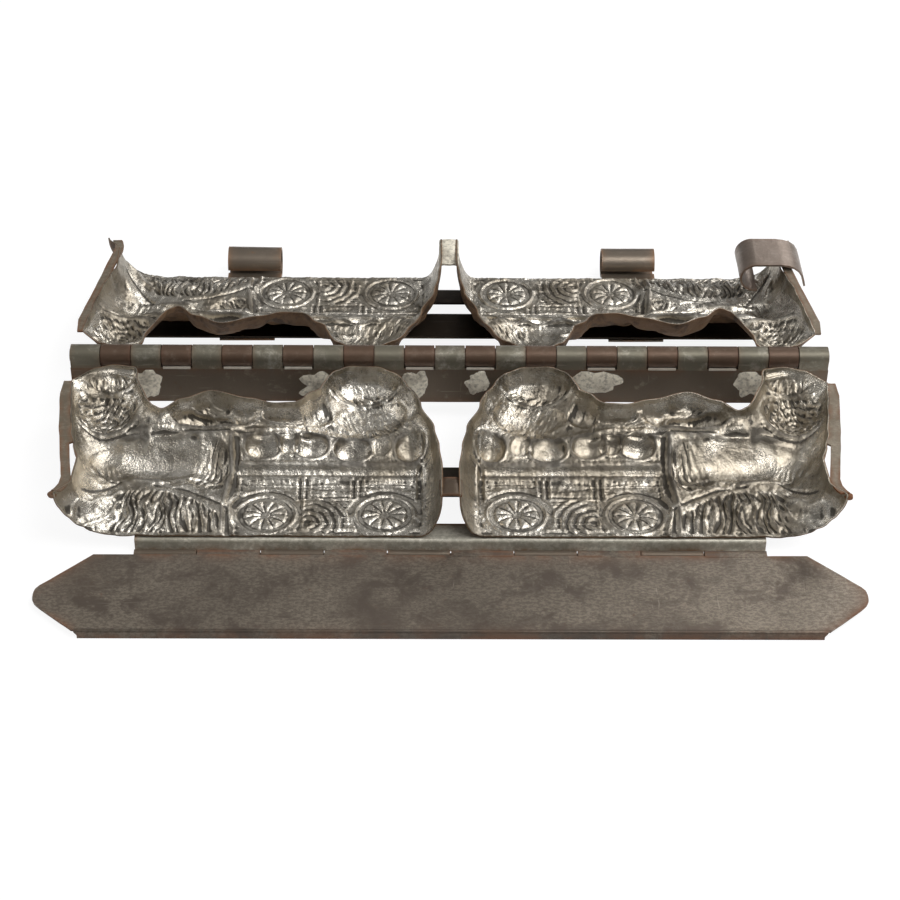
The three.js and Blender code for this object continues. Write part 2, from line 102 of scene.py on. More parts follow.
def solidGrid(points, thickness, growEdge=0.0015):
    # closes a grid of points (rows, columns, 3) into a thin sheet; the mask runs 1 at its edges to 0 inside
    rows, cols = points.shape[:2]
    alongRow = np.gradient(points, axis=0)
    alongCol = np.gradient(points, axis=1)
    normal = np.cross(alongRow, alongCol)
    normal /= np.maximum(np.linalg.norm(normal, axis=2, keepdims=True), 1e-12)
    top = points + normal * thickness / 2
    low = points - normal * thickness / 2
    count = rows * cols
    index = np.arange(count).reshape(rows, cols)
    a, b, c, d = index[:-1, :-1], index[1:, :-1], index[1:, 1:], index[:-1, 1:]
    faces = [np.stack([a, b, c, d], -1).reshape(-1, 4), np.stack([a, d, c, b], -1).reshape(-1, 4) + count]
    edge = np.concatenate([index[0, :-1], index[:-1, -1], index[-1, :0:-1], index[:0:-1, 0]])
    after = np.roll(edge, -1)
    faces.append(np.stack([edge, after, after + count, edge + count], -1))
    far = []
    for grid, axis in ((points, 0), (points, 1)):
        run = np.linalg.norm(np.diff(grid, axis=axis), axis=2)
        zero = np.zeros_like(np.take(run, [0], axis=axis))
        run = np.concatenate([zero, np.cumsum(run, axis=axis)], axis=axis)
        far.append(np.minimum(run, np.take(run, [-1], axis=axis) - run))
    mask = np.exp(-np.minimum(far[0], far[1]) / growEdge)
    verts = np.concatenate([top.reshape(-1, 3), low.reshape(-1, 3)])
    return verts, np.concatenate(faces), np.concatenate([mask.ravel(), mask.ravel()])


def mergeParts(parts):
    # joins several (verts, faces, mask) into one
    verts, faces, masks, start = [], [], [], 0
    for v, f, m in parts:
        verts.append(v)
        faces.append(f + start)
        masks.append(m)
        start += len(v)
    return np.concatenate(verts), np.concatenate(faces), np.concatenate(masks)


def sweptSheet(path, xs, thickness, wobble=0.0, seed=3, growEdge=0.0015):
    # path holds (y, z) in metres, xs the places along x; a little wobble keeps the sheet from looking ruled
    path = np.array(path, dtype=float)
    grid = np.zeros((len(path), len(xs), 3))
    grid[..., 0] = np.array(xs)[None, :]
    grid[..., 1] = path[:, :1]
    grid[..., 2] = path[:, 1:2]
    if wobble:
        bend = valueNoise(grid[..., 0] * 35 + 7, grid[..., 1] * 60 + grid[..., 2] * 60 + 11, seed)
        grid[..., 2] += wobble * bend
        grid[..., 1] += 0.5 * wobble * bend
    return solidGrid(grid, thickness, growEdge)


def arcPath(centre, radius, startDegrees, endDegrees, steps):
    # points along a circle's arc
    angles = np.radians(np.linspace(startDegrees, endDegrees, steps))
    return [(centre[0] + radius * math.cos(a), centre[1] + radius * math.sin(a)) for a in angles]


def denser(path, gap):
    # adds points along the straight runs of a path
    out = [path[0]]
    for a, b in zip(path[:-1], path[1:]):
        count = max(1, int(math.hypot(b[0] - a[0], b[1] - a[1]) / gap))
        out += [(a[0] + (b[0] - a[0]) * k / count, a[1] + (b[1] - a[1]) * k / count) for k in range(1, count + 1)]
    return out


# the figure's hollow, in millimetres: u out from the middle, v up from the open base
figure = {
    "height": 70.0, "innerGap": 3.2, "outerEnd": 128.4, "baseInset": 4.0, "cartDepth": 17.2,
    "columns": 340, "rows": 186, "sheet": 0.62, "partingGap": 0.2,
    # shares of the length or height: how high the rim stands, and how far its two ends step in
    "crestSoftening": 0.008,
    "crest": [(0, 0.78), (0.03, 0.94), (0.08, 0.99), (0.163, 0.995), (0.212, 0.957), (0.242, 0.9),
              (0.258, 0.82), (0.277, 0.795), (0.305, 0.775), (0.333, 0.725), (0.355, 0.698),
              (0.42, 0.69), (0.49, 0.73), (0.59, 0.79), (0.68, 0.725), (0.745, 0.64), (0.78, 0.68),
              (0.805, 0.86), (0.845, 0.985), (0.91, 1), (0.97, 0.97), (1, 0.87)],
    "innerEnds": [(0, 0), (0.2, 0), (0.357, 0.008), (0.5, 0.021), (0.686, 0.057), (0.857, 0.085), (1, 0.106)],
    "outerEnds": [(0, 0.019), (0.1, 0.0575), (0.27, 0.0607), (0.36, 0.046), (0.47, 0.031), (0.657, 0.017),
                  (0.77, 0.0085), (0.857, 0.003), (1, 0.03)],
    # shares of the depth, from the base up, behind the cart and behind the animal that draws it
    "cartDepths": [(0, 1), (0.335, 1), (0.43, 0.83), (0.447, 0.76), (0.62, 0.36), (1, 0.36)],
    "animalDepths": [(0, 1), (0.16, 0.8), (0.36, 0.77), (0.6, 0.28), (1, 0.28)],
    "cartLength": 0.525, "blend": 0.035,
    # rounded swellings: place along, place up, half width, half height, rise
    "swellings": [(0.21, 0.69, 0.112, 0.165, 0.24), (0.22, 0.885, 0.09, 0.07, 0.13), (0.36, 0.75, 0.045, 0.12, 0.1),
                  (0.909, 0.72, 0.088, 0.157, 0.26), (0.905, 0.52, 0.085, 0.075, 0.14), (0.75, 0.46, 0.13, 0.085, 0.13),
                  (0.605, 0.4, 0.045, 0.11, 0.09), (0.625, 0.675, 0.085, 0.075, 0.1), (0.482, 0.535, 0.032, 0.048, 0.1),
                  (0.415, 0.545, 0.03, 0.046, 0.1), (0.35, 0.55, 0.036, 0.054, 0.12), (0.25, 0.53, 0.04, 0.05, 0.1),
                  (0.082, 0.53, 0.035, 0.06, 0.12)],
    # how wide the hollow's walls curve in, below and above
    "topWalls": (6.0, 12.0), "topFrom": 0.63, "innerWall": 7.0, "outerWalls": (22.0, 12.0), "wallTurn": 0.4,
}
length = figure["outerEnd"] - figure["innerGap"]
reach = (hinge[1] - flapAxis[1]) / mm - figure["baseInset"]  # from the hinge axis to the open base


def innerEnd(v):
    # where the figure ends near the middle, at height v
    return figure["innerGap"] + length * throughKnots(figure["innerEnds"], v / figure["height"])


def outerEndAt(v):
    # where it ends at the outer side
    return figure["outerEnd"] - length * throughKnots(figure["outerEnds"], v / figure["height"])


def onFigure(across, up):
    # shares across and up become millimetres on the figure
    soft = figure["crestSoftening"]
    crest = sum(throughKnots(figure["crest"], np.clip(across + step, 0, 1)) for step in (-soft, 0, soft)) / 3
    v = up * figure["height"] * crest
    inner = innerEnd(v)
    return inner + (outerEndAt(v) - inner) * across, v


def crestDistance(u, v):
    # how far each place is from the wavy rim
    share = np.linspace(0, 1, 141)  # stations along the rim
    cu, cv = onFigure(share, np.ones_like(share))
    least = np.full(u.shape, 1e9)
    for k in range(len(share) - 1):
        du, dv = cu[k + 1] - cu[k], cv[k + 1] - cv[k]
        t = np.clip(((u - cu[k]) * du + (v - cv[k]) * dv) / (du * du + dv * dv), 0, 1)
        least = np.minimum(least, np.hypot(u - cu[k] - t * du, v - cv[k] - t * dv))
    return least


def wall(distance, reachOf):
    # a quarter circle from 0 at the rim to 1 where the wall ends
    t = 1 - np.clip(distance / reachOf, 0, 1)
    return np.sqrt(1 - t * t)


def formDepth(u, v, crestFar):
    # the main form: depth in steps, rounded swellings, and walls that curve in at the rim
    up, along = v / figure["height"], (u - figure["innerGap"]) / length
    behind = smoothStep((along - figure["cartLength"]) / figure["blend"])
    plain = throughKnots(figure["cartDepths"], up) * (1 - behind) + throughKnots(figure["animalDepths"], up) * behind
    for at, height, wide, tall, rise in figure["swellings"]:
        plain = plain + rise * np.exp(-(((along - at) / wide) ** 2) - ((up - height) / tall) ** 2)
    low, high = figure["outerWalls"]
    outerWall = low + (high - low) * smoothStep(up / figure["wallTurn"])
    low, high = figure["topWalls"]
    topWall = low + (high - low) * smoothStep((up - figure["topFrom"]) / (1 - figure["topFrom"]))
    walls = wall(crestFar, topWall) * wall(u - innerEnd(v), figure["innerWall"]) * wall(outerEndAt(v) - u, outerWall)
    return figure["cartDepth"] * np.minimum(plain, 1) * walls


def gauss(x, width):
    return np.exp(-((x / width) ** 2))


def dome(u, v, at, radii, height, tilt=0.0):
    # a round lump with a shallow moat round it
    x, y = u - at[0], v - at[1]
    c, s = math.cos(tilt), math.sin(tilt)
    far = np.hypot((x * c + y * s) / radii[0], (y * c - x * s) / radii[1])
    moat = 0.3 * gauss(far - 1.1, 0.1)
    return height * (np.sqrt(np.clip(1 - far * far, 0, 1)) - moat)


def strokes(u, v, direction, gap, lengthOf, seed, sway=1.2):
    # hair, feather or grass strokes: stretched noise that runs along direction (degrees)
    c, s = math.cos(math.radians(direction)), math.sin(math.radians(direction))
    a, b = u * c + v * s, -u * s + v * c
    b = b + sway * valueNoise(a / 7, b / 7, seed + 1)
    return valueNoise(a / lengthOf, b / gap, seed) + 0.6 * valueNoise(a / lengthOf * 1.7, b / gap * 2.1, seed + 2)


def inside(u, v, at, radii, soft=0.18):
    # 1 inside an ellipse and 0 outside, soft between
    q = np.sqrt(((u - at[0]) / radii[0]) ** 2 + ((v - at[1]) / radii[1]) ** 2)
    return 1 - smoothStep((q - 1 + soft) / (2 * soft))


def wheelRelief(u, v, at, radius, spokes):
    # rim, hub, spokes and fender of a wheel, and the mask of the place it takes
    du, dv = u - at[0], v - at[1]
    r, angle = np.hypot(du, dv), np.arctan2(dv, du)
    turn = (angle * spokes / (2 * math.pi)) % 1 - 0.5
    fromSpoke = r * np.abs(np.sin(turn * 2 * math.pi / spokes))
    rim = 1.25 * gauss(r - radius * 0.9, 0.85)
    hub = 1.3 * gauss(r, 1.5)
    arms = 0.95 * gauss(fromSpoke, 0.5) * smoothStep((radius * 0.84 - r) / 0.8) * smoothStep((r - 0.8) / 0.8)
    disc = -0.8 * smoothStep((radius * 0.82 - r) / 0.7)
    fender = 1.5 * gauss(r - radius * 1.27, 1.15) * smoothStep((dv + 1.5) / 4)
    shadow = -0.7 * gauss(r - radius * 1.08, 0.55)
    return rim + hub + arms + disc + fender + shadow, smoothStep((radius * 1.4 - r) / 0.8)


def ridgeLine(u, v, points, width):
    # a soft ridge along a run of points
    nearest = np.full(u.shape, 1e9)
    for (au, av), (bu, bv) in zip(points[:-1], points[1:]):
        du, dv = bu - au, bv - av
        t = np.clip(((u - au) * du + (v - av) * dv) / (du * du + dv * dv), 0, 1)
        nearest = np.minimum(nearest, np.hypot(u - au - t * du, v - av - t * dv))
    return gauss(nearest, width)


# the stamped drawing, in millimetres on the figure
drawing = {
    "cartEnds": (9.5, 70.5), "plank": 3.1, "wheels": [(21.5, 10.8), (60.3, 10.4)], "wheelRadius": 9.0, "spokes": 11,
    # posts: place, from, to, rise
    "posts": [(49.6, 2, 28, 1.2), (47.6, 18, 28, 0.7), (31.8, 18, 28, 1.1), (29.9, 18, 28, 0.8), (10.2, 4, 31, 1.0)],
    # eggs: middle, half width and half height, rise
    "eggs": [((62.6, 37.4), (5.6, 4.0), 2.9), ((53.6, 38.2), (3.4, 3.0), 2.0), ((46.4, 38.0), (5.6, 4.2), 2.9),
             ((32.6, 37.2), (6.0, 4.2), 2.8), ((13.4, 37.2), (4.8, 4.6), 2.6), ((23.4, 38.2), (3.6, 3.2), 1.6)],
    "hairShare": 0.5, "dentShare": 0.14,
}


def fineRelief(u, v):
    total = np.zeros_like(u)
    hair = np.zeros_like(u)
    # cart: planks, rail, posts and its two wheels
    inner, outer = drawing["cartEnds"]
    cart = smoothStep((outer - u) / 0.8) * smoothStep((u - inner) / 0.8)
    boards = smoothStep((27.4 - v) / 0.5) * smoothStep((v - 2.8) / 0.6) * cart
    plank = np.abs(((v - 18.4) / drawing["plank"]) % 1 - 0.5) * 2
    total += boards * (-0.55 * smoothStep((plank - 0.78) / 0.22) + 0.3 * strokes(u, v, 0, 0.75, 7, 40, 0.5))
    panel = smoothStep((27.6 - v) / 0.4) * smoothStep((v - 19.5) / 0.8) * cart
    total -= 0.55 * panel
    total += cart * (1.1 * gauss(v - 29.0, 0.85) - 0.9 * gauss(v - 27.3, 0.4) - 1.5 * gauss(v - 32.0, 1.5))
    total += 0.8 * gauss(v - 1.4, 0.6) * cart - 0.6 * gauss(v - 2.8, 0.4) * cart
    for at, low, high, size in drawing["posts"]:
        post = smoothStep((v - low) / 1) * smoothStep((high - v) / 1)
        total += post * (size * gauss(u - at, 0.65) - 0.5 * gauss(np.abs(u - at) - 1.3, 0.35))
    total += 1.5 * ridgeLine(u, v, [(72.2, 0), (72.8, 12), (71.5, 24), (70.8, 34), (71.4, 39)], 0.9)
    total -= 0.9 * ridgeLine(u, v, [(70.2, 0), (70.6, 12), (69.7, 27)], 0.45) + 0.9 * ridgeLine(
        u, v, [(74.4, 2), (74.6, 12), (73.4, 24), (73.0, 38)], 0.55)
    # curls of grass between the wheels
    curl = inside(u, v, (41, 9.5), (8.2, 8.6))
    around = np.hypot((u - 47) * 1.1, v - 6)
    total += curl * 0.9 * np.sin(around * 2.0 + 1.1 * valueNoise(u / 3, v / 3, 51))
    for at in drawing["wheels"]:
        relief, mask = wheelRelief(u, v, at, drawing["wheelRadius"], drawing["spokes"])
        total = total * (1 - mask) + relief * mask
    # eggs on the cart
    total -= 0.9 * cart * smoothStep((42 - v) / 1.5) * smoothStep((v - 32.5) / 1.5)
    # calm marks the smooth places, which stay bright
    calm = np.maximum(inside(u, v, (99, 32), (19, 7.4)), cart * gauss(v - 29.6, 1.6))
    for at, radii, high in drawing["eggs"]:
        total += dome(u, v, at, radii, high)
        calm = np.maximum(calm, inside(u, v, at, radii))
    # rider: body, head and arm
    ball = np.maximum(dome(u, v, (27.0, 50.6), (12.5, 9.4), 2.8), dome(u, v, (45.6, 51.6), (5.8, 5.6), 2.3))
    hat = dome(u, v, (28.8, 64.8), (14.2, 4.8), 3.0, -0.04)
    total += np.maximum(ball, dome(u, v, (38.4, 45.4), (9.4, 4.0), 2.4)) + hat
    total += 0.8 * gauss(np.hypot((u - 28.8) / 14.2, (v - 64.8) / 4.8) - 0.86, 0.1)
    total += 0.9 * ridgeLine(u, v, [(50.5, 57), (49.6, 50), (47.8, 43.5), (41, 42.6), (34, 41.6), (22, 41.4)], 0.55)
    coat = 0.55 * inside(u, v, (26, 52), (12, 7)) + 0.9 * inside(u, v, (20, 43), (9, 6), 0.3)
    hair += coat * strokes(u, v, 62, 0.8, 2.6, 60)
    hair += inside(u, v, (29, 61.6), (12.5, 2.6), 0.3) * 1.6 * strokes(u, v, 22, 0.75, 2.6, 63)
    hair += inside(u, v, (46, 52), (4, 4)) * 0.3 * strokes(u, v, 60, 0.8, 2.4, 65)
    # hump above the shaft, with a fan of strokes in it
    total += dome(u, v, (80.6, 49.4), (15.5, 6.8), 3.0) + dome(u, v, (83.5, 46.0), (10.4, 4.0), 1.8)
    total += dome(u, v, (56.2, 47.4), (6.6, 2.6), 2.8)
    total -= 1.2 * gauss(np.hypot((u - 83.5) / 10.4, (v - 46) / 4.0) - 1.12, 0.1) * smoothStep((v - 45) / 2)
    hair += inside(u, v, (79, 51.4), (13.5, 2.8)) * 1.3 * strokes(u, v, 22, 0.85, 4, 66)
    hair += inside(u, v, (58.5, 45.2), (9, 4.0)) * 0.4 * strokes(u, v, 8, 0.9, 5, 67)
    shaft = smoothStep((u - 46) / 2) * smoothStep((112 - u) / 3)
    line = v - (41.4 - 0.022 * (u - 60))
    total += shaft * (0.9 * gauss(line, 0.55) - 0.8 * gauss(line + 1.4, 0.5) - 0.3 * gauss(line - 1.5, 0.5))
    # the animal that draws the cart: head, eye, comb, body, leg and tail
    total += dome(u, v, (116.5, 51.0), (10.5, 9.5), 2.3) + dome(u, v, (118.0, 65.2), (10.6, 3.4), 1.9, 0.1)
    eyeball, eyelid = np.hypot(u - 117.5, (v - 59.6) * 1.3), np.hypot(u - 117.5, v - 59.6) - 2.1
    total += 1.1 * gauss(eyeball, 1.2) - 0.5 * gauss(eyelid, 0.5)
    total += dome(u, v, (126.2, 57.5), (3.4, 2.4), 1.2, -0.4) + dome(u, v, (109.5, 59.0), (2.6, 3.6), 0.8, 0.3)
    total += 1.0 * ridgeLine(u, v, [(127, 46), (123, 41.4), (117, 39.4), (110, 40.2), (105.5, 43.5)], 0.7)
    breast, body = dome(u, v, (110.5, 30.0), (9.0, 7.6), 2.2, 0.2), dome(u, v, (96, 32.4), (16.5, 8.6), 3.4, -0.05)
    total += np.maximum(np.maximum(breast, body), dome(u, v, (80.5, 29.5), (8.0, 9.2), 2.4))
    total += dome(u, v, (77.8, 21.6), (3.2, 2.6), 1.6)
    total += dome(u, v, (88, 24.0), (8, 2.8), 0.9, -0.2)
    total += 1.2 * ridgeLine(u, v, [(97, 21.4), (88, 19.6), (80, 15.6), (73.5, 11.2)], 0.75)
    total -= 0.8 * ridgeLine(u, v, [(112, 24.6), (103, 24.0), (93, 22.9)], 0.6)
    swirl = np.sin(np.hypot(u - 116.5, (v - 50.5) * 1.15) * 2.3 + 1.6 * valueNoise(u / 3, v / 3, 69))
    hair += inside(u, v, (117, 51), (11, 9)) * (0.7 * swirl + 1.2 * strokes(u, v, 120, 0.75, 2.4, 70))
    hair += inside(u, v, (119, 64.5), (10, 3.4)) * 1.4 * strokes(u, v, 84, 0.9, 3, 72)
    hair += inside(u, v, (97, 31), (18, 7)) * 0.45 * strokes(u, v, 165, 1.1, 4, 74)
    hair += inside(u, v, (79, 29), (6.4, 9)) * 1.3 * strokes(u, v, 115, 0.8, 4, 75)
    hair += inside(u, v, (112, 28), (6, 5)) * 0.7 * strokes(u, v, 60, 0.9, 3.4, 76)
    # grass under the animal and a broad leaf at the outer end
    crown = 19.4 - 0.022 * (u - 98) ** 2 * (u < 98) - 0.012 * (u - 98) ** 2 * (u >= 98)
    grassMask = smoothStep((u - 74.5) / 1.2) * smoothStep((112 - u) / 4) * smoothStep((crown - v) / 2)
    lean = 0.05 * (v - 2) * (u - 92) / 4 + 2.2 * valueNoise(u / 4.5, v / 7, 80)
    blades = np.abs(np.sin((u + lean) * math.pi / 2.9 + 2 * valueNoise(u / 2.3, v / 9, 88)))
    finer = valueNoise((u + 1.2 * lean) / 0.75, v / 4, 89)
    total += grassMask * (1.9 * blades ** 0.7 + 0.55 * finer - 0.9) * smoothStep((v - 0.8) / 1.5)
    leaf = inside(u, v, (117.0, 11.5), (10.5, 14), 0.3)
    fan = np.arctan2(v + 6, u - 128)
    total += leaf * (1.5 * np.abs(np.sin(fan * 11 + 0.9 * valueNoise(u / 4, v / 4, 83))) - 0.4)
    total += 1.1 * ridgeLine(u, v, [(124, 2), (120, 10), (113, 18), (109, 23)], 0.7)
    ground = smoothStep((2.4 - v) / 1.0) * smoothStep((u - 70) / 3)
    total += ground * 0.5 * valueNoise(u / 3, v / 2, 84)
    dents = valueNoise(u / 1.7, v / 1.7, 85) + 0.6 * valueNoise(u / 0.9, v / 0.9, 86) - 0.8
    hair += 0.4 * strokes(u, v, 75, 0.9, 2.2, 91) * (1 - inside(u, v, (100, 33), (18, 7)))
    total += drawing["hairShare"] * hair * (1 - 0.5 * calm) + drawing["dentShare"] * dents * (1 - calm)
    return total, calm


def blur(grid, times):
    # spreads each value over its neighbours
    for _ in range(times):
        pad = np.pad(grid, 1, mode="edge")
        grid = (4 * grid + pad[:-2, 1:-1] + pad[2:, 1:-1] + pad[1:-1, :-2] + pad[1:-1, 2:]) / 8
    return grid


# how the drawing is pressed into the hollow, and how widely each mask for grime and painted shade looks around itself
stamping = {"relief": 0.72, "waves": 0.12, "deepest": 17.5, "wideBlur": 14, "fineBlur": 3, "skinBlur": 10}


def hollowGrid():
    # the stamped hollow of one figure: its inside and outside surfaces, and masks for grime, painted shade and wear
    cols, rows = figure["columns"], figure["rows"]
    i, j = np.linspace(0, 1, cols + 1), np.linspace(0, 1, rows + 1)
    across = 0.6 * i + 0.4 * (1 - np.cos(math.pi * i)) / 2
    up = 0.45 * j + 0.55 * np.sin(math.pi * j / 2)
    across, up = np.meshgrid(across, up, indexing="ij")
    u, v = onFigure(across, up)
    crestFar = crestDistance(u, v)
    form = formDepth(u, v, crestFar)
    fade = smoothStep((crestFar - 0.3) / 1.8) * smoothStep((u - innerEnd(v) - 0.5) / 1.6)
    fade = fade * smoothStep((outerEndAt(v) - u - 0.6) / 2.2)
    relief, calm = fineRelief(u, v)
    relief = relief * fade + stamping["waves"] * valueNoise(u / 4, v / 4, 5) * fade
    depth = np.clip(form + stamping["relief"] * relief, 0, stamping["deepest"])
    rim = np.zeros_like(depth, dtype=bool)
    rim[0], rim[-1], rim[:, -1] = True, True, True
    depth[rim] = 0
    times = 4  # the finer grid needs more passes for the same width
    rimFar = np.minimum(np.minimum(crestFar, u - innerEnd(v)), outerEndAt(v) - u)
    # raised and fine are the depth less its blurred copy: grooves come out positive and get grime, ridges come out
    # negative and get painted shade
    raised = (depth - blur(depth, stamping["wideBlur"] * times)) * smoothStep((rimFar - 1.5) / 5)
    fine = (depth - blur(depth, stamping["fineBlur"] * times)) * (1 - 0.85 * calm) * smoothStep((rimFar - 0.6) / 1.8)
    # low marks the lower part of the figure, which the material darkens with patchy painted shade
    low = smoothStep((30 - v) / 6) * (1 - 0.5 * smoothStep((u - 70) / 8))
    spacing = np.hypot(*np.gradient(u)) + np.hypot(*np.gradient(v))
    steep = np.hypot(*np.gradient(blur(depth, 3))) / np.maximum(spacing, 0.05)
    insideGrid = np.stack([u, v, depth], -1)
    # the outside follows a softened copy of the inside, one sheet thickness away
    soft = np.stack([u, v, np.where(rim, 0, blur(depth, stamping["skinBlur"]))], -1)
    normal = np.cross(np.gradient(soft, axis=0), np.gradient(soft, axis=1))
    normal[normal[..., 2] < 0] *= -1
    normal[rim, 2] = 0
    normal[0], normal[-1] = (-1, 0, 0), (1, 0, 0)
    alongU, alongV = u[2:, -1] - u[:-2, -1], v[2:, -1] - v[:-2, -1]
    normal[1:-1, -1] = np.stack([-alongV, alongU, np.zeros_like(alongU)], -1)
    normal[:, 0, 1] = 0
    normal /= np.maximum(np.linalg.norm(normal, axis=2, keepdims=True), 1e-9)
    outsideGrid = soft + normal * figure["sheet"]
    outsideGrid[..., 2] = np.maximum(outsideGrid[..., 2], np.where(rim, 0, depth + 0.3))
    return insideGrid, outsideGrid, (raised, fine, steep, low)


def shellPiece(name, side, half, parts, material, body):
    # one shell: the hollow mirrored to its side and half, and closed round its edge
    insideGrid, outsideGrid, insideMasks = parts
    rows, cols = insideGrid.shape[:2]
    count = rows * cols
    index = np.arange(count).reshape(rows, cols)
    a, b, c, d = index[:-1, :-1], index[1:, :-1], index[1:, 1:], index[:-1, 1:]
    edge = np.concatenate([index[:-1, 0], index[-1, :-1], index[:0:-1, -1], index[0, :0:-1]])
    after = np.roll(edge, -1)
    faces = np.concatenate([
        np.stack([a, d, c, b], -1).reshape(-1, 4),
        np.stack([a, b, c, d], -1).reshape(-1, 4) + count,
        np.stack([edge, after, after + count, edge + count], -1),
    ])
    points = np.concatenate([insideGrid.reshape(-1, 3), outsideGrid.reshape(-1, 3)])
    places = np.empty_like(points)
    places[:, 0] = hinge[0] + side * points[:, 0] * mm
    places[:, 1] = hinge[1] + half * (reach - points[:, 1]) * mm
    places[:, 2] = hinge[2] - (points[:, 2] + figure["partingGap"]) * mm
    if side * half < 0:
        faces = faces[:, ::-1]
    outer = np.concatenate([np.zeros(count), np.ones(count)])
    deep, fine, steep, low = (np.concatenate([values.ravel(), np.zeros(count)]) for values in insideMasks)
    return makePiece(name, places, faces, material, body, [name.removesuffix("_relief")], 60,
                     {"outer": outer, "deep": deep, "fine": fine, "steep": steep, "low": low})


# materials: shared shader groups first
def groupSockets(group, inputs, outputs):
    for socketName, kind, value in inputs:
        socket = group.interface.new_socket(name=socketName, in_out="INPUT", socket_type=kind)
        if value is not None:
            socket.default_value = value
    for socketName, kind in outputs:
        group.interface.new_socket(name=socketName, in_out="OUTPUT", socket_type=kind)
    return group.nodes.new("NodeGroupInput"), group.nodes.new("NodeGroupOutput")


def link(tree, source, target):
    tree.links.new(source, target)


def mathNode(tree, operation, first, second=None, clamp=False):
    node = tree.nodes.new("ShaderNodeMath")
    node.operation = operation
    node.use_clamp = clamp
    for socket, value in zip(node.inputs, (first, second)):
        if value is None:
            continue
        if isinstance(value, (int, float)):
            socket.default_value = value
        else:
            link(tree, value, socket)
    return node.outputs[0]


def rampNode(tree, source, low, high):
    # 0 at low, 1 at high; low may be the greater
    node = tree.nodes.new("ShaderNodeMapRange")
    node.interpolation_type = "SMOOTHSTEP"
    link(tree, source, node.inputs["Value"])
    node.inputs["From Min"].default_value = low
    node.inputs["From Max"].default_value = high
    return node.outputs["Result"]


def mixColour(tree, mask, first, second):
    node = tree.nodes.new("ShaderNodeMix")
    node.data_type = "RGBA"
    if isinstance(mask, (int, float)):
        node.inputs["Factor"].default_value = mask
    else:
        link(tree, mask, node.inputs["Factor"])
    for socket, value in ((node.inputs[6], first), (node.inputs[7], second)):
        if isinstance(value, tuple):
            socket.default_value = (*value, 1)
        else:
            link(tree, value, socket)
    return node.outputs[2]


def noiseNode(tree, scale, detail=5.0, rough=0.6, stretch=None, warp=0.0):
    # noise fixed to the object
    coords = tree.nodes.new("ShaderNodeTexCoord").outputs["Object"]
    if stretch:
        mapping = tree.nodes.new("ShaderNodeMapping")
        mapping.inputs["Scale"].default_value = stretch
        link(tree, coords, mapping.inputs["Vector"])
        coords = mapping.outputs[0]
    noise = tree.nodes.new("ShaderNodeTexNoise")
    noise.inputs["Scale"].default_value = scale
    noise.inputs["Detail"].default_value = detail
    noise.inputs["Roughness"].default_value = rough
    noise.inputs["Distortion"].default_value = warp
    link(tree, coords, noise.inputs["Vector"])
    return noise.outputs["Fac"]


def patinaGroup():
    # blotches of worn and unworn surface, with fine speckle over them
    group = bpy.data.node_groups.new("patina blotches", "ShaderNodeTree")
    start, end = groupSockets(group, [("Blotch Size", "NodeSocketFloat", 60.0), ("Cover", "NodeSocketFloat", 0.5)],
                              [("Mask", "NodeSocketFloat"), ("Speckle", "NodeSocketFloat")])
    coords = group.nodes.new("ShaderNodeTexCoord").outputs["Object"]
    big = group.nodes.new("ShaderNodeTexNoise")
    big.inputs["Detail"].default_value = 9
    big.inputs["Roughness"].default_value = 0.68
    big.inputs["Distortion"].default_value = 0.4
    link(group, coords, big.inputs["Vector"])
    link(group, start.outputs["Blotch Size"], big.inputs["Scale"])
    small = group.nodes.new("ShaderNodeTexNoise")
    small.inputs["Scale"].default_value = 900
    small.inputs["Detail"].default_value = 4
    link(group, coords, small.inputs["Vector"])
    low = mathNode(group, "SUBTRACT", 1.0, start.outputs["Cover"])
    edgeLow = mathNode(group, "SUBTRACT", low, 0.07)
    span = mathNode(group, "SUBTRACT", big.outputs["Fac"], edgeLow)
    mask = mathNode(group, "MULTIPLY", span, 7.0, True)
    link(group, mask, end.inputs["Mask"])
    link(group, rampNode(group, small.outputs["Fac"], 0.45, 0.7), end.inputs["Speckle"])
    return group


def scratchGroup():
    # fine scratches that run a little off the length of the sheet
    group = bpy.data.node_groups.new("scratches", "ShaderNodeTree")
    start, end = groupSockets(group, [("Amount", "NodeSocketFloat", 0.5)], [("Mask", "NodeSocketFloat")])
    fine = noiseNode(group, 1, 3, 0.5, (60, 1400, 900))
    cross = noiseNode(group, 1, 3, 0.5, (900, 90, 90))
    lines = mathNode(group, "MAXIMUM", rampNode(group, fine, 0.66, 0.72), rampNode(group, cross, 0.68, 0.74))
    link(group, mathNode(group, "MULTIPLY", lines, start.outputs["Amount"], True), end.inputs["Mask"])
    return group


patina, scratches = patinaGroup(), scratchGroup()


def useGroup(tree, group, **values):
    node = tree.nodes.new("ShaderNodeGroup")
    node.node_tree = group
    for socketName, value in values.items():
        node.inputs[socketName.replace("_", " ")].default_value = value
    return node


def startMaterial(name):
    material = bpy.data.materials.new(name)
    material.use_nodes = True
    tree = material.node_tree
    return material, tree, tree.nodes["Principled BSDF"]


def maskFrom(tree, attribute):
    node = tree.nodes.new("ShaderNodeAttribute")
    node.attribute_name = attribute
    return node.outputs["Fac"]


def bumpFrom(tree, shader, height, strength, distance):
    bump = tree.nodes.new("ShaderNodeBump")
    bump.inputs["Strength"].default_value = strength
    bump.inputs["Distance"].default_value = distance
    link(tree, height, bump.inputs["Height"])
    link(tree, bump.outputs[0], shader.inputs["Normal"])
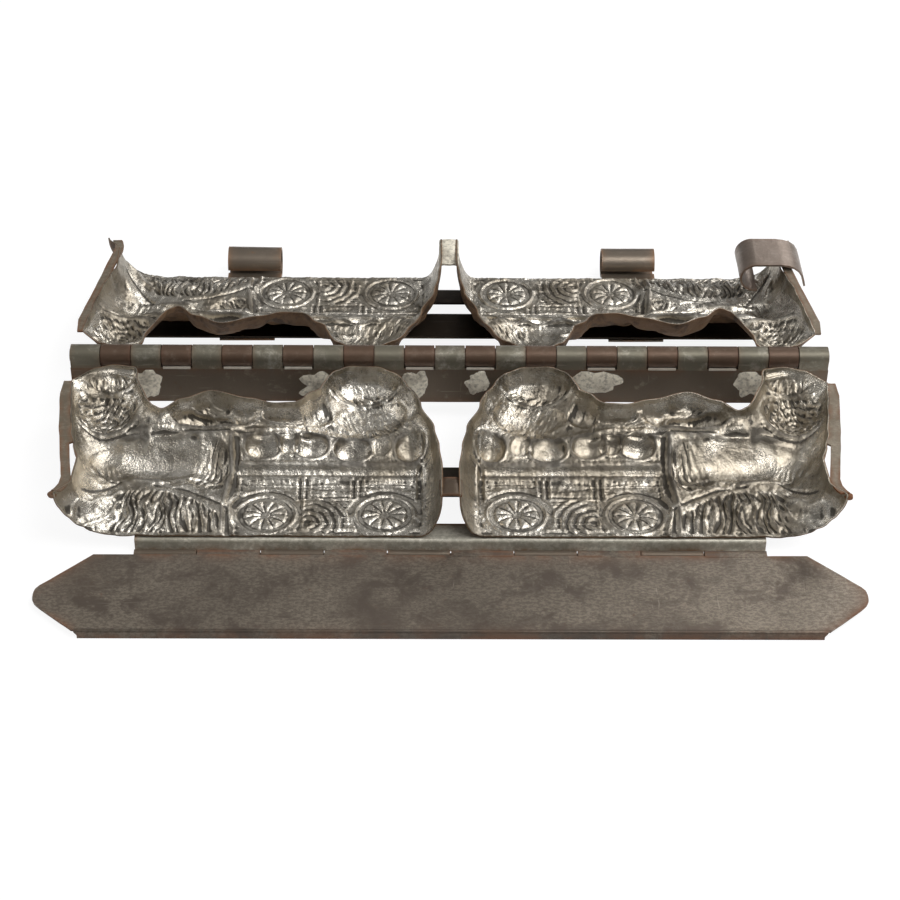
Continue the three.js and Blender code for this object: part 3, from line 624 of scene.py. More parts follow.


# the stamped shells: bright worn tin inside, with grime in its grooves and painted shade along its ridges and over its
# lower part, brown outside
shellTin = {
    "bright": (0.71, 0.665, 0.585), "warm": (0.42, 0.37, 0.295), "dim": (0.125, 0.106, 0.08),
    "grimeShadeColour": (0.022, 0.017, 0.011), "outside": (0.21, 0.125, 0.068), "outsideDark": (0.075, 0.048, 0.030),
    "blotchSize": 120.0, "blotchCover": 0.45, "wornSize": 30.0, "wornCover": 0.5, "dimShare": 0.55,
    # relief in millimetres where the grime (groove) and the painted shade (crease, outline) start and are full, and how
    # much of each there is; dusk is how much patchy painted shade lies over the lower part
    "groove": (0.05, 0.2, 0.9), "crease": (-0.14, -0.36, 0.45), "outline": (-0.15, -0.9, 0.75),
    "dusk": 0.4, "roughness": 0.2, "dullRoughness": 0.34, "wornRoughness": 0.1,
}


def brightTinMaterial(look):
    material, tree, shader = startMaterial("stamped tin")
    blotch = useGroup(tree, patina, Blotch_Size=look["blotchSize"], Cover=look["blotchCover"])
    wide = useGroup(tree, patina, Blotch_Size=look["wornSize"], Cover=look["wornCover"])
    fine = maskFrom(tree, "fine")
    grain = noiseNode(tree, 620, 5, 0.7)
    wavering = mathNode(tree, "MULTIPLY", mathNode(tree, "SUBTRACT", grain, 0.5), 0.22)
    etched = mathNode(tree, "ADD", fine, wavering)
    # the groove layer is grime in the recesses; the crease and outline layers darken the ridges between the raised
    # forms as painted shade
    layers = []
    for source, (start, full, share) in ((etched, look["groove"]), (etched, look["crease"]),
                                         (maskFrom(tree, "deep"), look["outline"])):
        layers.append(mathNode(tree, "MULTIPLY", rampNode(tree, source, start, full), share))
    grimeAndShade = mathNode(tree, "MAXIMUM", layers[0], layers[1])
    grimeAndShade = mathNode(tree, "MAXIMUM", grimeAndShade, layers[2])
    spots = rampNode(tree, noiseNode(tree, 950, 7, 0.75), 0.545, 0.62)
    spotted = mathNode(tree, "ADD", 0.3, mathNode(tree, "MULTIPLY", blotch.outputs["Mask"], 0.55))
    spots = mathNode(tree, "MULTIPLY", spots, spotted)
    # dusk: patchy painted shade over the lower part of the figure
    lowPlace = maskFrom(tree, "low")
    dusk = mathNode(tree, "MULTIPLY", lowPlace, rampNode(tree, noiseNode(tree, 330, 8, 0.72), 0.44, 0.62))
    grimeAndShade = mathNode(tree, "MAXIMUM", grimeAndShade, mathNode(tree, "MULTIPLY", dusk, look["dusk"]))
    grimeAndShade = mathNode(tree, "MAXIMUM", grimeAndShade, spots, True)
    worn = mathNode(tree, "MAXIMUM", wide.outputs["Mask"], rampNode(tree, maskFrom(tree, "steep"), 0.45, 1.1))
    tin = mixColour(tree, worn, look["bright"], look["warm"])
    tin = mixColour(tree, mathNode(tree, "MULTIPLY", blotch.outputs["Mask"], look["dimShare"]), tin, look["dim"])
    # grime and painted shade darken the bright tin
    inner = mixColour(tree, grimeAndShade, tin, look["grimeShadeColour"])
    skin = mixColour(tree, blotch.outputs["Mask"], look["outside"], look["outsideDark"])
    outer = rampNode(tree, maskFrom(tree, "outer"), 0.3, 0.7)
    link(tree, mixColour(tree, outer, inner, skin), shader.inputs["Base Color"])
    dull = mathNode(tree, "MAXIMUM", grimeAndShade, outer)
    link(tree, mathNode(tree, "SUBTRACT", 1.0, mathNode(tree, "MULTIPLY", dull, 0.7)), shader.inputs["Metallic"])
    rough = mathNode(tree, "ADD", look["roughness"], mathNode(tree, "MULTIPLY", dull, look["dullRoughness"]))
    rubbed = mathNode(tree, "MULTIPLY", worn, look["wornRoughness"])
    link(tree, mathNode(tree, "ADD", rough, rubbed), shader.inputs["Roughness"])
    pores = mathNode(tree, "MULTIPLY", noiseNode(tree, 1500, 3), 0.4)
    pitted = mathNode(tree, "ADD", noiseNode(tree, 420, 6, 0.65), pores)
    bumpFrom(tree, shader, pitted, 0.5, 0.0007)
    return material


def agedSheetMaterial(name, base, pale, rust, cover, paleSize, rustEdge, metal=0.75, rough=0.42):
    material, tree, shader = startMaterial(name)
    worn = useGroup(tree, patina, Blotch_Size=paleSize, Cover=cover)
    broad = useGroup(tree, patina, Blotch_Size=14.0, Cover=0.55)
    line = useGroup(tree, scratches, Amount=0.55)
    shade = mathNode(tree, "MULTIPLY", worn.outputs["Mask"], mathNode(tree, "ADD", broad.outputs["Mask"], 0.25), True)
    flecks = rampNode(tree, noiseNode(tree, 640, 5, 0.75, (1, 1.6, 1)), 0.42, 0.6)
    shade = mathNode(tree, "MULTIPLY", shade, mathNode(tree, "ADD", 0.3, mathNode(tree, "MULTIPLY", flecks, 0.8)), True)
    shade = mathNode(tree, "MAXIMUM", shade, line.outputs["Mask"])
    colour = mixColour(tree, shade, base, pale)
    tone = rampNode(tree, noiseNode(tree, 9, 5, 0.6), 0.35, 0.7)
    colour = mixColour(tree, mathNode(tree, "MULTIPLY", tone, 0.5), colour, tuple(0.55 * c for c in base))
    # the turned-down lip is darkened as painted shade
    lip = mathNode(tree, "MULTIPLY", maskFrom(tree, "lip"), 0.6)
    colour = mixColour(tree, lip, colour, tuple(0.25 * c for c in base))
    spots = rampNode(tree, noiseNode(tree, 240, 9, 0.8), 0.6, 0.7)
    edge = mathNode(tree, "MULTIPLY", maskFrom(tree, "edge"), rustEdge)
    edge = mathNode(tree, "MULTIPLY", edge, rampNode(tree, noiseNode(tree, 70, 6, 0.7), 0.35, 0.6))
    rusty = mathNode(tree, "MAXIMUM", edge, mathNode(tree, "MULTIPLY", spots, 0.55), True)
    link(tree, mixColour(tree, rusty, colour, rust), shader.inputs["Base Color"])
    tarnish = mathNode(tree, "MULTIPLY", rusty, metal * 0.8)
    link(tree, mathNode(tree, "SUBTRACT", metal, tarnish), shader.inputs["Metallic"])
    dullness = mathNode(tree, "ADD", rough, mathNode(tree, "MULTIPLY", rusty, 0.3))
    polish = mathNode(tree, "MULTIPLY", shade, 0.06)
    link(tree, mathNode(tree, "SUBTRACT", dullness, polish), shader.inputs["Roughness"])
    grain = mathNode(tree, "ADD", noiseNode(tree, 260, 7, 0.7), mathNode(tree, "MULTIPLY", line.outputs["Mask"], -0.4))
    bumpFrom(tree, shader, grain, 0.3, 0.0004)
    return material


solderFinish = {"pale": (0.88, 0.82, 0.68), "dull": (0.60, 0.55, 0.45), "speck": (0.09, 0.075, 0.055),
                "speckShare": 0.5, "metal": 0.1, "roughness": 0.4}


def solderMaterial(look):
    material, tree, shader = startMaterial("solder")
    blotch = useGroup(tree, patina, Blotch_Size=160.0, Cover=0.5)
    colour = mixColour(tree, blotch.outputs["Mask"], look["pale"], look["dull"])
    speck = mathNode(tree, "MULTIPLY", blotch.outputs["Speckle"], look["speckShare"])
    link(tree, mixColour(tree, speck, colour, look["speck"]), shader.inputs["Base Color"])
    shader.inputs["Metallic"].default_value = look["metal"]
    matt = mathNode(tree, "MULTIPLY", blotch.outputs["Mask"], 0.18)
    link(tree, mathNode(tree, "ADD", look["roughness"], matt), shader.inputs["Roughness"])
    bumpFrom(tree, shader, noiseNode(tree, 240, 6, 0.65), 0.5, 0.0008)
    return material


brightTin = brightTinMaterial(shellTin)

# dull aged sheet: its colours, how much is worn pale and in patches how fine, and the rust along its edges
agedSheets = {
    "flap sheet": {"base": (0.165, 0.133, 0.107), "pale": (0.36, 0.31, 0.245), "rust": (0.17, 0.075, 0.035),
                   "cover": 0.55, "paleSize": 90.0, "rustEdge": 0.9},
    "dark sheet": {"base": (0.165, 0.13, 0.096), "pale": (0.30, 0.26, 0.205), "rust": (0.16, 0.068, 0.028),
                   "cover": 0.36, "paleSize": 160.0, "rustEdge": 0.6, "metal": 0.6},
    # the near-black cross strips are painted shade: they lie in the shadow under the shells
    "cross strips in painted shade": {"base": (0.052, 0.040, 0.029), "pale": (0.095, 0.078, 0.058), "rust": (0.10, 0.045, 0.02),
                     "cover": 0.3, "paleSize": 90.0, "rustEdge": 0.6},
    "base strip": {"base": (0.46, 0.435, 0.35), "pale": (0.86, 0.82, 0.70), "rust": (0.26, 0.12, 0.045),
                   "cover": 0.6, "paleSize": 70.0, "rustEdge": 1.2, "metal": 0.3, "rough": 0.42},
    "rusty knuckles": {"base": (0.125, 0.078, 0.051), "pale": (0.21, 0.15, 0.108), "rust": (0.13, 0.052, 0.024),
                       "cover": 0.42, "paleSize": 160.0, "rustEdge": 0.5, "metal": 0.5},
    "grey knuckles": {"base": (0.19, 0.172, 0.128), "pale": (0.38, 0.355, 0.29), "rust": (0.16, 0.08, 0.035),
                      "cover": 0.45, "paleSize": 150.0, "rustEdge": 0.5, "metal": 0.55},
    "end ties": {"base": (0.23, 0.19, 0.138), "pale": (0.36, 0.315, 0.245), "rust": (0.17, 0.068, 0.025),
                 "cover": 0.5, "paleSize": 160.0, "rustEdge": 1.0, "metal": 0.6},
    "front saddle": {"base": (0.12, 0.085, 0.058), "pale": (0.2, 0.165, 0.125), "rust": (0.16, 0.065, 0.026),
                     "cover": 0.4, "paleSize": 160.0, "rustEdge": 0.8, "metal": 0.5},
    "spring steel": {"base": (0.25, 0.205, 0.16), "pale": (0.38, 0.33, 0.27), "rust": (0.30, 0.12, 0.03),
                     "cover": 0.42, "paleSize": 140.0, "rustEdge": 0.6, "metal": 0.75, "rough": 0.34},
    "loose clip": {"base": (0.26, 0.205, 0.168), "pale": (0.40, 0.34, 0.29), "rust": (0.15, 0.078, 0.04),
                   "cover": 0.5, "paleSize": 140.0, "rustEdge": 0.6, "metal": 0.7, "rough": 0.4},
    # pale bare metal with a painted highlight, for the cut edges at the notches
    "bare edge with painted highlight": {"base": (0.72, 0.66, 0.56), "pale": (0.85, 0.80, 0.70), "rust": (0.2, 0.09, 0.04),
                  "cover": 0.5, "paleSize": 200.0, "rustEdge": 0.2, "metal": 0.3, "rough": 0.35},
}
sheetOf = {name: agedSheetMaterial(name, **look) for name, look in agedSheets.items()}
solder = solderMaterial(solderFinish)
print("materials made")

hollow = hollowGrid()
for part, half in (("front", -1), ("rear", 1)):
    for where, side in (("left", -1), ("right", 1)):
        shellPiece(f"{part}_{where}_shell_relief", side, half, hollow, brightTin, f"{part}_half")
print("hollows stamped")

# the long hinge: leaves with their rolled knuckles
longHinge = {"knuckles": 25, "radius": 3.35, "sheet": 0.72, "gap": 0.34, "seamGap": 12, "notch": 3.0, "pinPlay": 0.2,
             "wobble": 0.00012, "knuckleWobble": 0.00006, "wearAlongEdge": 0.0007}
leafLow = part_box("front_hinge_leaf")[0][2]
leafEnds = (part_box("front_hinge_leaf")[0][0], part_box("front_hinge_leaf")[1][0])


def leafPieces(part, half, first, plateMaterial, knuckleMaterial):
    # one leaf of the long hinge, with every second knuckle from the first on
    radius, thick = longHinge["radius"] * mm, longHinge["sheet"] * mm
    wear, slot = longHinge["wearAlongEdge"], "dark_tin" if half < 0 else "rusty_tin"
    y, z = hinge[1] + half * radius, hinge[2]
    notch = z - longHinge["notch"] * mm
    xs = np.linspace(leafEnds[0], leafEnds[1], 150)
    plate = sweptSheet(denser([(y, leafLow), (y, notch)], 0.0011), xs, thick, longHinge["wobble"], 21 + first)
    rolls = []
    pitch = (leafEnds[1] - leafEnds[0]) / longHinge["knuckles"]
    for k in range(first, longHinge["knuckles"], 2):
        low = leafEnds[0] + pitch * k + longHinge["gap"] / 2 * mm
        high = low + pitch - longHinge["gap"] * mm
        turn = arcPath((hinge[1], z), radius, 0, 360 - longHinge["seamGap"], 44)
        path = [(y, notch - 0.2 * mm), (y, z - 1.3 * mm)] + [(hinge[1] + half * (a - hinge[1]), b) for a, b in turn]
        soft = np.array([0, 0.02, 0.07, 0.2, 0.5, 0.8, 0.93, 0.98, 1.0])
        rolls.append(sweptSheet(path, low + (high - low) * soft, thick, longHinge["knuckleWobble"], 30 + k, wear))
    verts, faces, mask = plate
    makePiece(f"{part}_leaf_plate", verts, faces, plateMaterial, f"{part}_half", [f"{part}_hinge_leaf"], 50,
              {"edge": mask})
    if half < 0:  # bare cut metal where the front leaf is cut out for the rear knuckles, coloured pale as a painted highlight along the cut
        edges = []
        for k in range(1 - first, longHinge["knuckles"], 2):
            low, high = leafEnds[0] + pitch * k + 0.5 * mm, leafEnds[0] + pitch * (k + 1) - 0.5 * mm
            path = [(y - 0.1 * mm, notch + 0.5 * mm), (y - 0.1 * mm, notch - 0.1 * mm)]
            edges.append(sweptSheet(path, np.linspace(low, high, 12), thick, 0.00005, 60 + k, wear))
        verts, faces, mask = mergeParts(edges)
        makePiece(f"{part}_notch_edges", verts, faces, sheetOf["bare edge with painted highlight"], f"{part}_half", [], 50,
                  {"edge": mask})
    verts, faces, mask = mergeParts(rolls)
    makePiece(f"{part}_knuckles", verts, faces, knuckleMaterial, f"{part}_half", [], 50, {"edge": mask})


def rod(radius, low, high, spokes=40):
    # a round pin along the hinge with softened ends
    stations = [(low, 0.01), (low, 0.86), (low + 0.3 * mm, 1), (high - 0.3 * mm, 1), (high, 0.86), (high, 0.01)]
    a = np.arange(spokes) * 2 * math.pi / spokes
    verts = np.concatenate([np.stack([np.full(spokes, x), hinge[1] + share * radius * np.cos(a),
                                      hinge[2] + share * radius * np.sin(a)], -1) for x, share in stations])
    index = np.arange(len(verts)).reshape(len(stations), spokes)
    after = np.roll(index, -1, axis=1)
    faces = np.stack([index[:-1], after[:-1], after[1:], index[1:]], -1).reshape(-1, 4)[:, ::-1]
    return verts, faces


pinRadius = (longHinge["radius"] - longHinge["sheet"] / 2 - longHinge["pinPlay"]) * mm
verts, faces = rod(pinRadius, pinLow[0], pinHigh[0])
makePiece("hinge_pin_rod", verts, faces, sheetOf["rusty knuckles"], "front_half", ["hinge_pin"], 40)
leafPieces("front", -1, 0, sheetOf["dark sheet"], sheetOf["grey knuckles"])
leafPieces("rear", 1, 1, sheetOf["dark sheet"], sheetOf["rusty knuckles"])
print("hinge rolled")

# solder run out on the front leaf beside the heads: thin lumps with wandering outlines
solderLook = {"belowAxis": 3.5, "thick": 0.55, "ragged": 0.16, "rings": 9, "spokes": 72}
# middle, width, height and how far the outline wanders
solderRuns = {
    "outer_left": (-106.4, 12.5, 13.5, 2.0), "inner_left": (-44, 16, 13.5, 2.2), "centre_left": (-11.5, 9, 11.5, 1.6),
    "centre_right": (9.5, 8, 10.5, 1.7), "inner_right": (50, 17, 9, 1.2), "outer_right": (104.5, 12, 10.5, 1.6),
}


def solderRun(name, at, width, height, wander, seed):
    top = hinge[2] - solderLook["belowAxis"] * mm
    face = hinge[1] - (longHinge["radius"] + longHinge["sheet"] / 2) * mm
    rings, spokes = solderLook["rings"], solderLook["spokes"]
    verts, faces, mask = [], [], []
    for r in range(rings + 1):
        share = r / rings
        for s in range(spokes):
            a = 2 * math.pi * s / spokes
            c, d = math.cos(a), math.sin(a)
            ragged = 1 + solderLook["ragged"] * wander * noiseAt(2.2 * c + 9, 2.2 * d + 9, seed)
            ragged += 0.05 * noiseAt(9 * c + 30, 9 * d + 30, seed + 1)
            x = at + width / 2 * share * ragged * c
            z = -height / 2 + height / 2 * share * ragged * d
            lump = solderLook["thick"] * (1 - share ** 3) + 0.12 * noiseAt(x / 2.5, z / 2.5, seed) * (1 - share)
            verts.append((hinge[0] + x * mm, face - max(lump, 0.02) * mm, top + min(z, -0.1) * mm))
            mask.append(share ** 8)
    for r in range(rings):
        for s in range(spokes):
            n = (s + 1) % spokes
            faces.append((r * spokes + s, r * spokes + n, (r + 1) * spokes + n, (r + 1) * spokes + s))
    back = len(verts)
    verts += [(x, face + 0.05 * mm, z) for x, _, z in verts[rings * spokes:]]
    mask += [1.0] * spokes
    base = rings * spokes
    faces += [(base + s, base + (s + 1) % spokes, back + (s + 1) % spokes, back + s) for s in range(spokes)]
    faces.append(tuple(back + s for s in range(spokes)))
    return makePiece(f"{name}_solder_run", verts, faces, solder, "front_half", [f"{name}_solder_patch"], 60,
                     {"edge": mask})


for number, (name, (at, width, height, wander)) in enumerate(solderRuns.items()):
    solderRun(name, at, width, height, wander, 40 + 3 * number)


# the saddle of sheet and solder between neighbouring shells: which half, its length and the sag of its end
saddle = {"front": (-1, 10.5, 1.4), "rear": (1, 14.0, 2.6)}
for part, (half, long, arch) in saddle.items():
    t = np.linspace(0, 1, 26)
    s = np.linspace(-1, 1, 23)
    grid = np.zeros((len(t), len(s), 3))
    v = long * t
    halfWidth = innerEnd(v) + 0.25
    grid[..., 0] = hinge[0] + halfWidth[:, None] * s[None, :] * mm
    grid[..., 1] = hinge[1] + half * (reach - v[:, None]) * mm
    sides = np.abs(s[None, :]) ** 3 * (0.5 + 1.6 * t[:, None])
    sag = arch * smoothStep((t[:, None] - 0.55) / 0.45) * (1 - np.abs(s[None, :]) ** 2) * 0.6
    grid[..., 2] = hinge[2] - (0.55 + 0.5 * t[:, None] + sides + sag) * mm
    verts, faces, mask = solidGrid(grid, 0.7 * mm, 0.0008)
    finish = solder if half > 0 else sheetOf["front saddle"]
    makePiece(f"{part}_saddle_sheet", verts, faces, finish, f"{part}_half", [f"{part}_saddle"], 60,
              {"edge": mask})

# end ties: a thin band beside the outer rim that ends in a rusty bead at the base corner
tie = {"outer": [(131.0, 61), (131.4, 54), (128.9, 33), (126.4, 17), (125.0, 8.6), (125.4, 5), (126.4, 2.6),
                 (127.3, 1.4)],
       "rearInset": [0.6, 0.5, 1.6, 1.4, 1.6, 2.0, 2.4, 2.7], "width": 3.2, "least": 2.2, "below": 0.6, "sheet": 0.7,
       "bead": 1.5, "rearBead": 0.6}


def beadLump(centre, radius, seed):
    # a small uneven bead
    rings, spokes, verts, faces = 14, 22, [], []
    for r in range(rings + 1):
        a = math.pi * r / rings
        for k in range(spokes):
            b = 2 * math.pi * k / spokes
            way = (math.sin(a) * math.cos(b), math.sin(a) * math.sin(b) * 0.9, math.cos(a) * 0.8)
            swell = 1 + 0.12 * noiseAt(way[0] * 2 + 7, way[1] * 2 + way[2] + 7, seed)
            verts.append(tuple(c + radius * swell * w for c, w in zip(centre, way)))
    for r in range(rings):
        for k in range(spokes):
            n = (k + 1) % spokes
            faces.append((r * spokes + k, (r + 1) * spokes + k, (r + 1) * spokes + n, r * spokes + n))
    return np.array(verts), np.array(faces), np.ones(len(verts))


for part, half in (("front", -1), ("rear", 1)):
    for where, side in (("left", -1), ("right", 1)):
        seed = 110 + 3 * half + side
        inset = tie["rearInset"] if half > 0 else [0] * len(tie["outer"])
        line = np.array(denser([(u - i, v) for (u, v), i in zip(tie["outer"], inset)], 0.9))
        meets = np.where(line[:, 1] > 27, outerEndAt(line[:, 1]) + 0.3, line[:, 0] - tie["width"])
        inner = np.minimum(meets, line[:, 0] - tie["least"])
        across = np.array([0, 0.08, 0.5, 0.92, 1])
        wave = valueNoise(*np.broadcast_arrays(line[:, 1][:, None] / 5, across * 2), seed)
        grid = np.zeros((len(line), len(across), 3))
        places = inner[:, None] + (line[:, :1] - inner[:, None]) * across
        grid[..., 0] = hinge[0] + side * (places + 0.12 * wave) * mm
        grid[..., 1] = hinge[1] + half * (reach - line[:, 1:]) * mm
        grid[..., 2] = hinge[2] - (tie["below"] + 0.08 * wave) * mm
        band = solidGrid(grid, tie["sheet"] * mm, 0.0007)
        corner = (hinge[0] + side * (line[-1, 0] - 0.4) * mm, hinge[1] + half * (reach - 1.2) * mm,
                  hinge[2] - 1.75 * mm)
        bead = tie["bead"] * (1 if half < 0 else tie["rearBead"]) * mm
        verts, faces, mask = mergeParts([band, beadLump(corner, bead, seed)])
        makePiece(f"{part}_{where}_tie_band", verts, faces, sheetOf["end ties"], f"{part}_half",
                  [f"{part}_{where}_end_tie"], 50, {"edge": mask})

# spring latches: a tongue under the rear strips and a curl that stands on the table
latch = {"radius": 5.3, "sheet": 0.75, "turn": 338, "tongueBelow": 20.1, "wobble": 0.00016}
for where in ("left", "right"):
    low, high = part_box(f"{where}_spring_latch")
    radius = latch["radius"] * mm
    centre = (high[1] - (latch["radius"] + 0.4) * mm, low[2] + (latch["radius"] + 0.42) * mm)
    level = hinge[2] - latch["tongueBelow"] * mm
    touch = 180 + math.degrees(math.asin((centre[1] - level) / radius))
    path = denser([(low[1], level), (centre[0] - radius * 0.92, level)], 0.003)[:-1]
    path += arcPath(centre, radius, touch, touch + latch["turn"], 70)
    soft = np.array([0, 0.008, 0.03, 0.1, 0.25, 0.5, 0.75, 0.9, 0.97, 0.992, 1.0])
    xs = low[0] + (high[0] - low[0]) * soft
    verts, faces, mask = sweptSheet(path, xs, latch["sheet"] * mm, latch["wobble"], 61, 0.001)
    makePiece(f"{where}_latch_curl", verts, faces, sheetOf["spring steel"], "rear_half", [f"{where}_spring_latch"],
              50, {"edge": mask})

# the loose clip hooked over the outer end of the rear right shell: a hook inside it, an arc round its end
clip = {"end": 126.9, "radius": 5.3, "sheet": 0.75, "onward": 2.5, "lower": 1.4, "arcInset": 2.8, "arcDrop": 0.3,
        "sway": 0.00035, "dent": 0.00018,
        "hook": [(0.66, -1.02), (0.56, -0.6), (0.42, -0.2), (0.2, 0.14), (-0.15, 0.4), (-0.62, 0.57), (-1.15, 0.66)]}
low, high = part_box("end_clip")
radius = clip["radius"] * mm
place = [(hinge[0] + clip["end"] * mm + a * radius, hinge[2] + b * radius) for a, b in clip["hook"]]
arcMiddle = (hinge[0] + clip["end"] * mm - clip["arcInset"] * radius, hinge[2] - clip["arcDrop"] * radius)
place += arcPath(arcMiddle, radius, 82, 281, 52)
xs = low[1] + (high[1] - low[1]) * np.array([0, 0.01, 0.04, 0.12, 0.3, 0.5, 0.7, 0.88, 0.96, 0.99, 1.0])
grid = np.zeros((len(place), len(xs), 3))
grid[..., 0] = np.array(place)[:, :1]
grid[..., 2] = np.array(place)[:, 1:]
grid[..., 1] = xs[None, :] + clip["sway"] * np.sin(grid[..., 0] * 210)
grid[..., 2] += clip["dent"] * valueNoise(grid[..., 0] * 140, grid[..., 1] * 140, 71)
grid[..., 1] -= clip["onward"] * mm
grid[..., 2] -= clip["lower"] * mm
verts, faces, mask = solidGrid(grid, clip["sheet"] * mm, 0.001)
makePiece("end_clip_sheet", verts, faces, sheetOf["loose clip"], "clip", ["end_clip"], 50,
          {"edge": mask})
print("small pieces made")

# the closing flap: plate with pointed ends, lip and its knuckles
flap = {"sheet": 0.75, "lip": 3.2, "lipHalf": 115.5, "fold": 0.7, "columns": 190, "rows": 44, "dent": 0.22,
        "below": 0.4, "knuckles": 10, "knuckleRadius": 1.25, "knuckleSheet": 0.6, "knuckleGap": 0.36,
        "ends": [(0, 114.6), (0.27, 124.4), (0.34, 126.8), (0.42, 129.8), (0.47, 131.0), (0.53, 131.3), (0.6, 131.2),
                 (0.66, 130.2), (0.72, 128.2), (0.9, 121.2), (0.96, 118.7), (1.0, 117.2)]}
low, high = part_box("closing_flap")
flapTop = high[2]
frontEdge, backEdge = low[1], flapAxis[1] - 1.9 * mm
t = np.linspace(0, 1, flap["rows"])
s = np.linspace(-1, 1, flap["columns"])
half = np.interp(t, [e[0] for e in flap["ends"]], [e[1] for e in flap["ends"]])
plateZ, fold = flapTop - flap["below"] * mm, flap["fold"] * mm
path = [(backEdge + (frontEdge + fold - backEdge) * k, plateZ) for k in t]
widths = list(half)
for angle in (20, 45, 70, 90):
    a = math.radians(angle)
    path.append((frontEdge + fold * (1 - math.sin(a)) + 0.38 * mm, plateZ - fold * (1 - math.cos(a))))
    widths.append(half[-1] - 0.012 * angle)
for k in (0.4, 0.7, 1.0):
    path.append((frontEdge + 0.38 * mm, plateZ - fold - (flap["lip"] - 1.15) * k * mm))
    widths.append(flap["lipHalf"])
grid = np.zeros((len(path), len(s), 3))
grid[..., 0] = hinge[0] + np.array(widths)[:, None] * s[None, :] * mm
grid[..., 1] = np.array(path)[:, :1]
grid[..., 2] = np.array(path)[:, 1:]
inPlate = np.concatenate([np.ones(len(t)), np.zeros(len(path) - len(t))])[:, None]
waves = valueNoise(grid[..., 0] * 24, grid[..., 1] * 55 + 3, 81)
waves = waves + 0.4 * valueNoise(grid[..., 0] * 90, grid[..., 1] * 120, 82)
grid[..., 2] += flap["dent"] * mm * (waves - 1.0) * 0.5 * inPlate
plate = solidGrid(grid, flap["sheet"] * mm, 0.0022)


baseFace = hinge[1] - (reach + 0.4) * mm  # where the base strip turns down


def smallKnuckles(first, seed):
    # the first set belongs to the base strip, the second to the flap
    rolls, pitch = [], (flapPinHigh[0] - flapPinLow[0]) / flap["knuckles"]
    gap, thick = flap["knuckleGap"] * mm, flap["knuckleSheet"] * mm
    for k in range(first, flap["knuckles"], 2):
        low = flapPinLow[0] + pitch * k + gap / 2
        high = low + pitch - gap
        start, turn = (250, 330) if first == 0 else (95, -330)
        path = arcPath((flapAxis[1], flapAxis[2]), flap["knuckleRadius"] * mm, start, start + turn, 26)
        soft = np.array([0, 0.01, 0.05, 0.3, 0.7, 0.95, 0.99, 1.0])
        rolls.append(sweptSheet(path, low + (high - low) * soft, thick, 0.00004, seed + k, 0.0006))
        if first:
            tab = [(backEdge - 0.6 * mm, flapTop - 0.42 * mm), (flapAxis[1], flapTop - 0.36 * mm)]
        else:
            tab = [(baseFace, flapAxis[2] - 1.2 * mm), (flapAxis[1], flapAxis[2] - 1.24 * mm)]
        rolls.append(sweptSheet(denser(tab, 0.001), low + (high - low) * soft, thick, 0, seed, 0.0006))
    return rolls


verts, faces, mask = mergeParts([plate] + smallKnuckles(1, 90))
# lip marks the turned-down front lip, which the flap sheet darkens as painted shade
lip = (verts[:, 1] < frontEdge + 0.9 * mm).astype(float)
makePiece("flap_plate", verts, faces, sheetOf["flap sheet"], "flap", ["closing_flap"], 45,
          {"edge": mask, "lip": lip})

# the base strip of the front half, turned down to the flap's hinge
baseStrip = {"below": 0.4, "sheet": 0.72, "wobble": 0.00012}
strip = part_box("front_base_strip")
stripZ = strip[1][2] - baseStrip["below"] * mm
path = denser([(strip[1][1], stripZ), (baseFace + 0.5 * mm, stripZ)], 0.0012)
path += [(baseFace + 0.15 * mm, stripZ - 0.12 * mm), (baseFace, stripZ - 0.5 * mm)]
path += denser([(baseFace, stripZ - 0.8 * mm), (baseFace, flapAxis[2] - 1.2 * mm)], 0.0008)
xs = np.linspace(strip[0][0], strip[1][0], 160)
verts, faces, mask = mergeParts(smallKnuckles(0, 97))
makePiece("front_base_knuckles", verts, faces, sheetOf["dark sheet"], "front_half", [], 45, {"edge": mask})
verts, faces, mask = sweptSheet(path, xs, baseStrip["sheet"] * mm, baseStrip["wobble"], 95, 0.0013)
makePiece("front_base_sheet", verts, faces, sheetOf["base strip"], "front_half", ["front_base_strip"], 45,
          {"edge": mask})

# the flat strips and the pins keep their solids and get finishes; the strips under the shells are near-black as painted
# shade
plainFinishes = {"front_cross_strip": "cross strips in painted shade", "rear_cross_strip": "cross strips in painted shade",
                 "rear_base_strip": "cross strips in painted shade", "flap_hinge_pin": "dark sheet"}
for node, finish in plainFinishes.items():
    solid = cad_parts[node]
    solid.data.materials.clear()
    solid.data.materials.append(sheetOf[finish])
print("flap and strips made")

# camera at the photograph's angle, fitted to the hinge, the rims and the flap
view = {"place": (-6.6, -626.2, 439.2), "pitch": 37.469, "yaw": 0.635, "roll": -0.569,
        "focal": 2216.0, "frame": 900.0, "sensor": 36}  # place in millimetres, focal and frame in pixels
pitch, yaw, roll = (math.radians(view[k]) for k in ("pitch", "yaw", "roll"))
forward = Vector((math.sin(yaw) * math.cos(pitch), math.cos(yaw) * math.cos(pitch), -math.sin(pitch)))
right = Vector((math.cos(yaw), -math.sin(yaw), 0))
up = right.cross(forward)
turnedRight = right * math.cos(roll) - up * math.sin(roll)
turnedUp = right * math.sin(roll) + up * math.cos(roll)
cameraData = bpy.data.cameras.new("camera")
cameraData.sensor_width = view["sensor"]
cameraData.lens = view["focal"] / view["frame"] * view["sensor"]
cameraData.clip_end = 20
camera = bpy.data.objects.new("camera", cameraData)
bpy.context.scene.collection.objects.link(camera)
camera.rotation_mode = "QUATERNION"
basis = Matrix((turnedRight, turnedUp, -forward)).transposed()
camera.rotation_quaternion = basis.to_quaternion()
camera.location = Vector(hinge) + Vector(view["place"]) * mm
bpy.context.scene.camera = camera

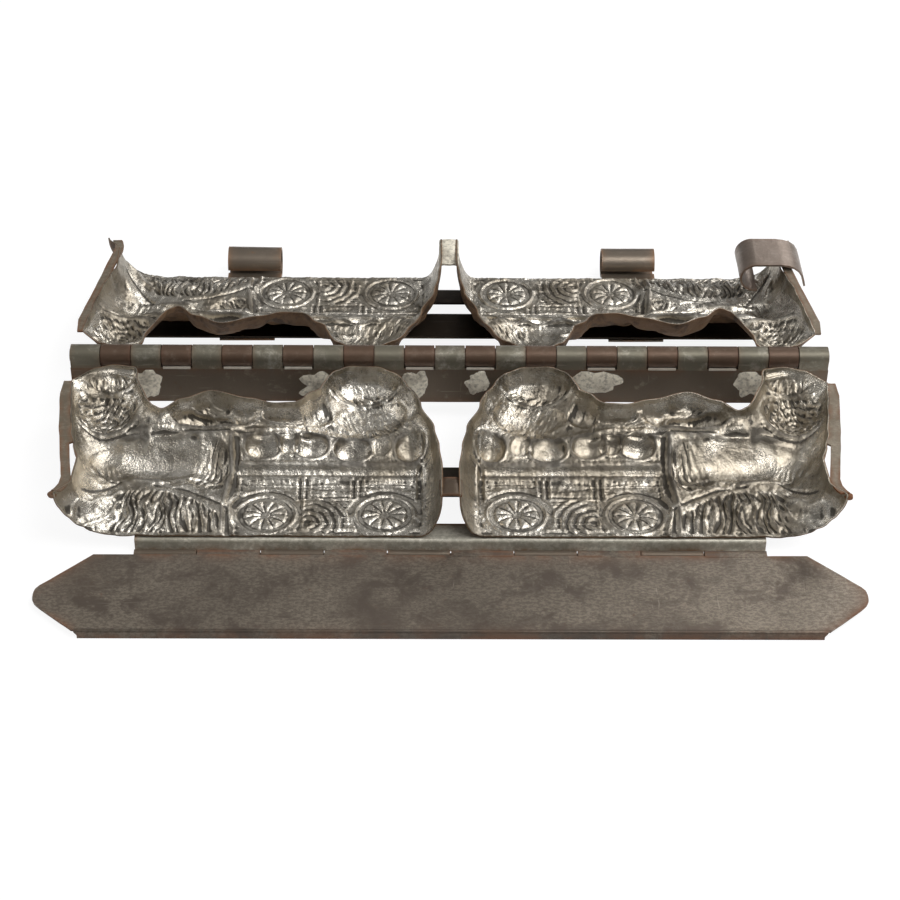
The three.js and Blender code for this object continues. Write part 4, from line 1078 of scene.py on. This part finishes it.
# a pale floor, a plain world and soft lamps
stage = {"floor": (0.93, 0.93, 0.93), "glow": 1.1, "glowShare": 0.82, "skyLow": 0.14, "skyHigh": 0.33}
floorMesh = bpy.data.meshes.new("floor")
floorMesh.from_pydata([(-4, -4, 0), (4, -4, 0), (4, 4, 0), (-4, 4, 0)], [], [(0, 1, 2, 3)])
floor = bpy.data.objects.new("floor", floorMesh)
bpy.context.scene.collection.objects.link(floor)
floorPaint, tree, shader = startMaterial("pale floor")
shader.inputs["Base Color"].default_value = (*stage["floor"], 1)
shader.inputs["Roughness"].default_value = 0.9
shader.inputs["Specular IOR Level"].default_value = 0.1
lightPath = tree.nodes.new("ShaderNodeLightPath")
glow = tree.nodes.new("ShaderNodeEmission")
glow.inputs["Color"].default_value = (1, 1, 1, 1)
glow.inputs["Strength"].default_value = stage["glow"]
blend = tree.nodes.new("ShaderNodeMixShader")
seen = mathNode(tree, "MULTIPLY", lightPath.outputs["Is Camera Ray"], stage["glowShare"])
link(tree, seen, blend.inputs[0])
link(tree, shader.outputs[0], blend.inputs[1])
link(tree, glow.outputs[0], blend.inputs[2])
link(tree, blend.outputs[0], tree.nodes["Material Output"].inputs["Surface"])
floorMesh.materials.append(floorPaint)

world = bpy.data.worlds.new("studio")
bpy.context.scene.world = world
world.use_nodes = True
tree = world.node_tree
background = tree.nodes["Background"]
background.inputs["Strength"].default_value = 1
separate = tree.nodes.new("ShaderNodeSeparateXYZ")
link(tree, tree.nodes.new("ShaderNodeTexCoord").outputs["Generated"], separate.inputs[0])
sky = rampNode(tree, separate.outputs["Z"], -0.1, 1.0)
tone = mixColour(tree, sky, (stage["skyLow"],) * 3, (stage["skyHigh"],) * 3)
worldPath = tree.nodes.new("ShaderNodeLightPath")
link(tree, mixColour(tree, worldPath.outputs["Is Camera Ray"], tone, (1.0, 1.0, 1.0)), background.inputs["Color"])

# soft lamps: place, size and power
lamps = {
    "high": ((0.55, -0.45, 1.15), 0.75, 9.0), "left": ((-1.0, 0.1, 0.55), 0.35, 1.4),
    "right": ((0.75, 0.95, 0.8), 0.6, 5.0), "over": ((0.9, 0.05, 1.1), 0.6, 5.0),
}
for name, (place, size, power) in lamps.items():
    lampData = bpy.data.lights.new(name, "AREA")
    lampData.size = size
    lampData.energy = power
    lamp = bpy.data.objects.new(name, lampData)
    lamp.location = place
    lamp.rotation_euler = (Vector((0, 0, 0.01)) - Vector(place)).to_track_quat("-Z", "Y").to_euler()
    bpy.context.scene.collection.objects.link(lamp)
bpy.context.scene.view_settings.view_transform = "Standard"
print("stage lit")
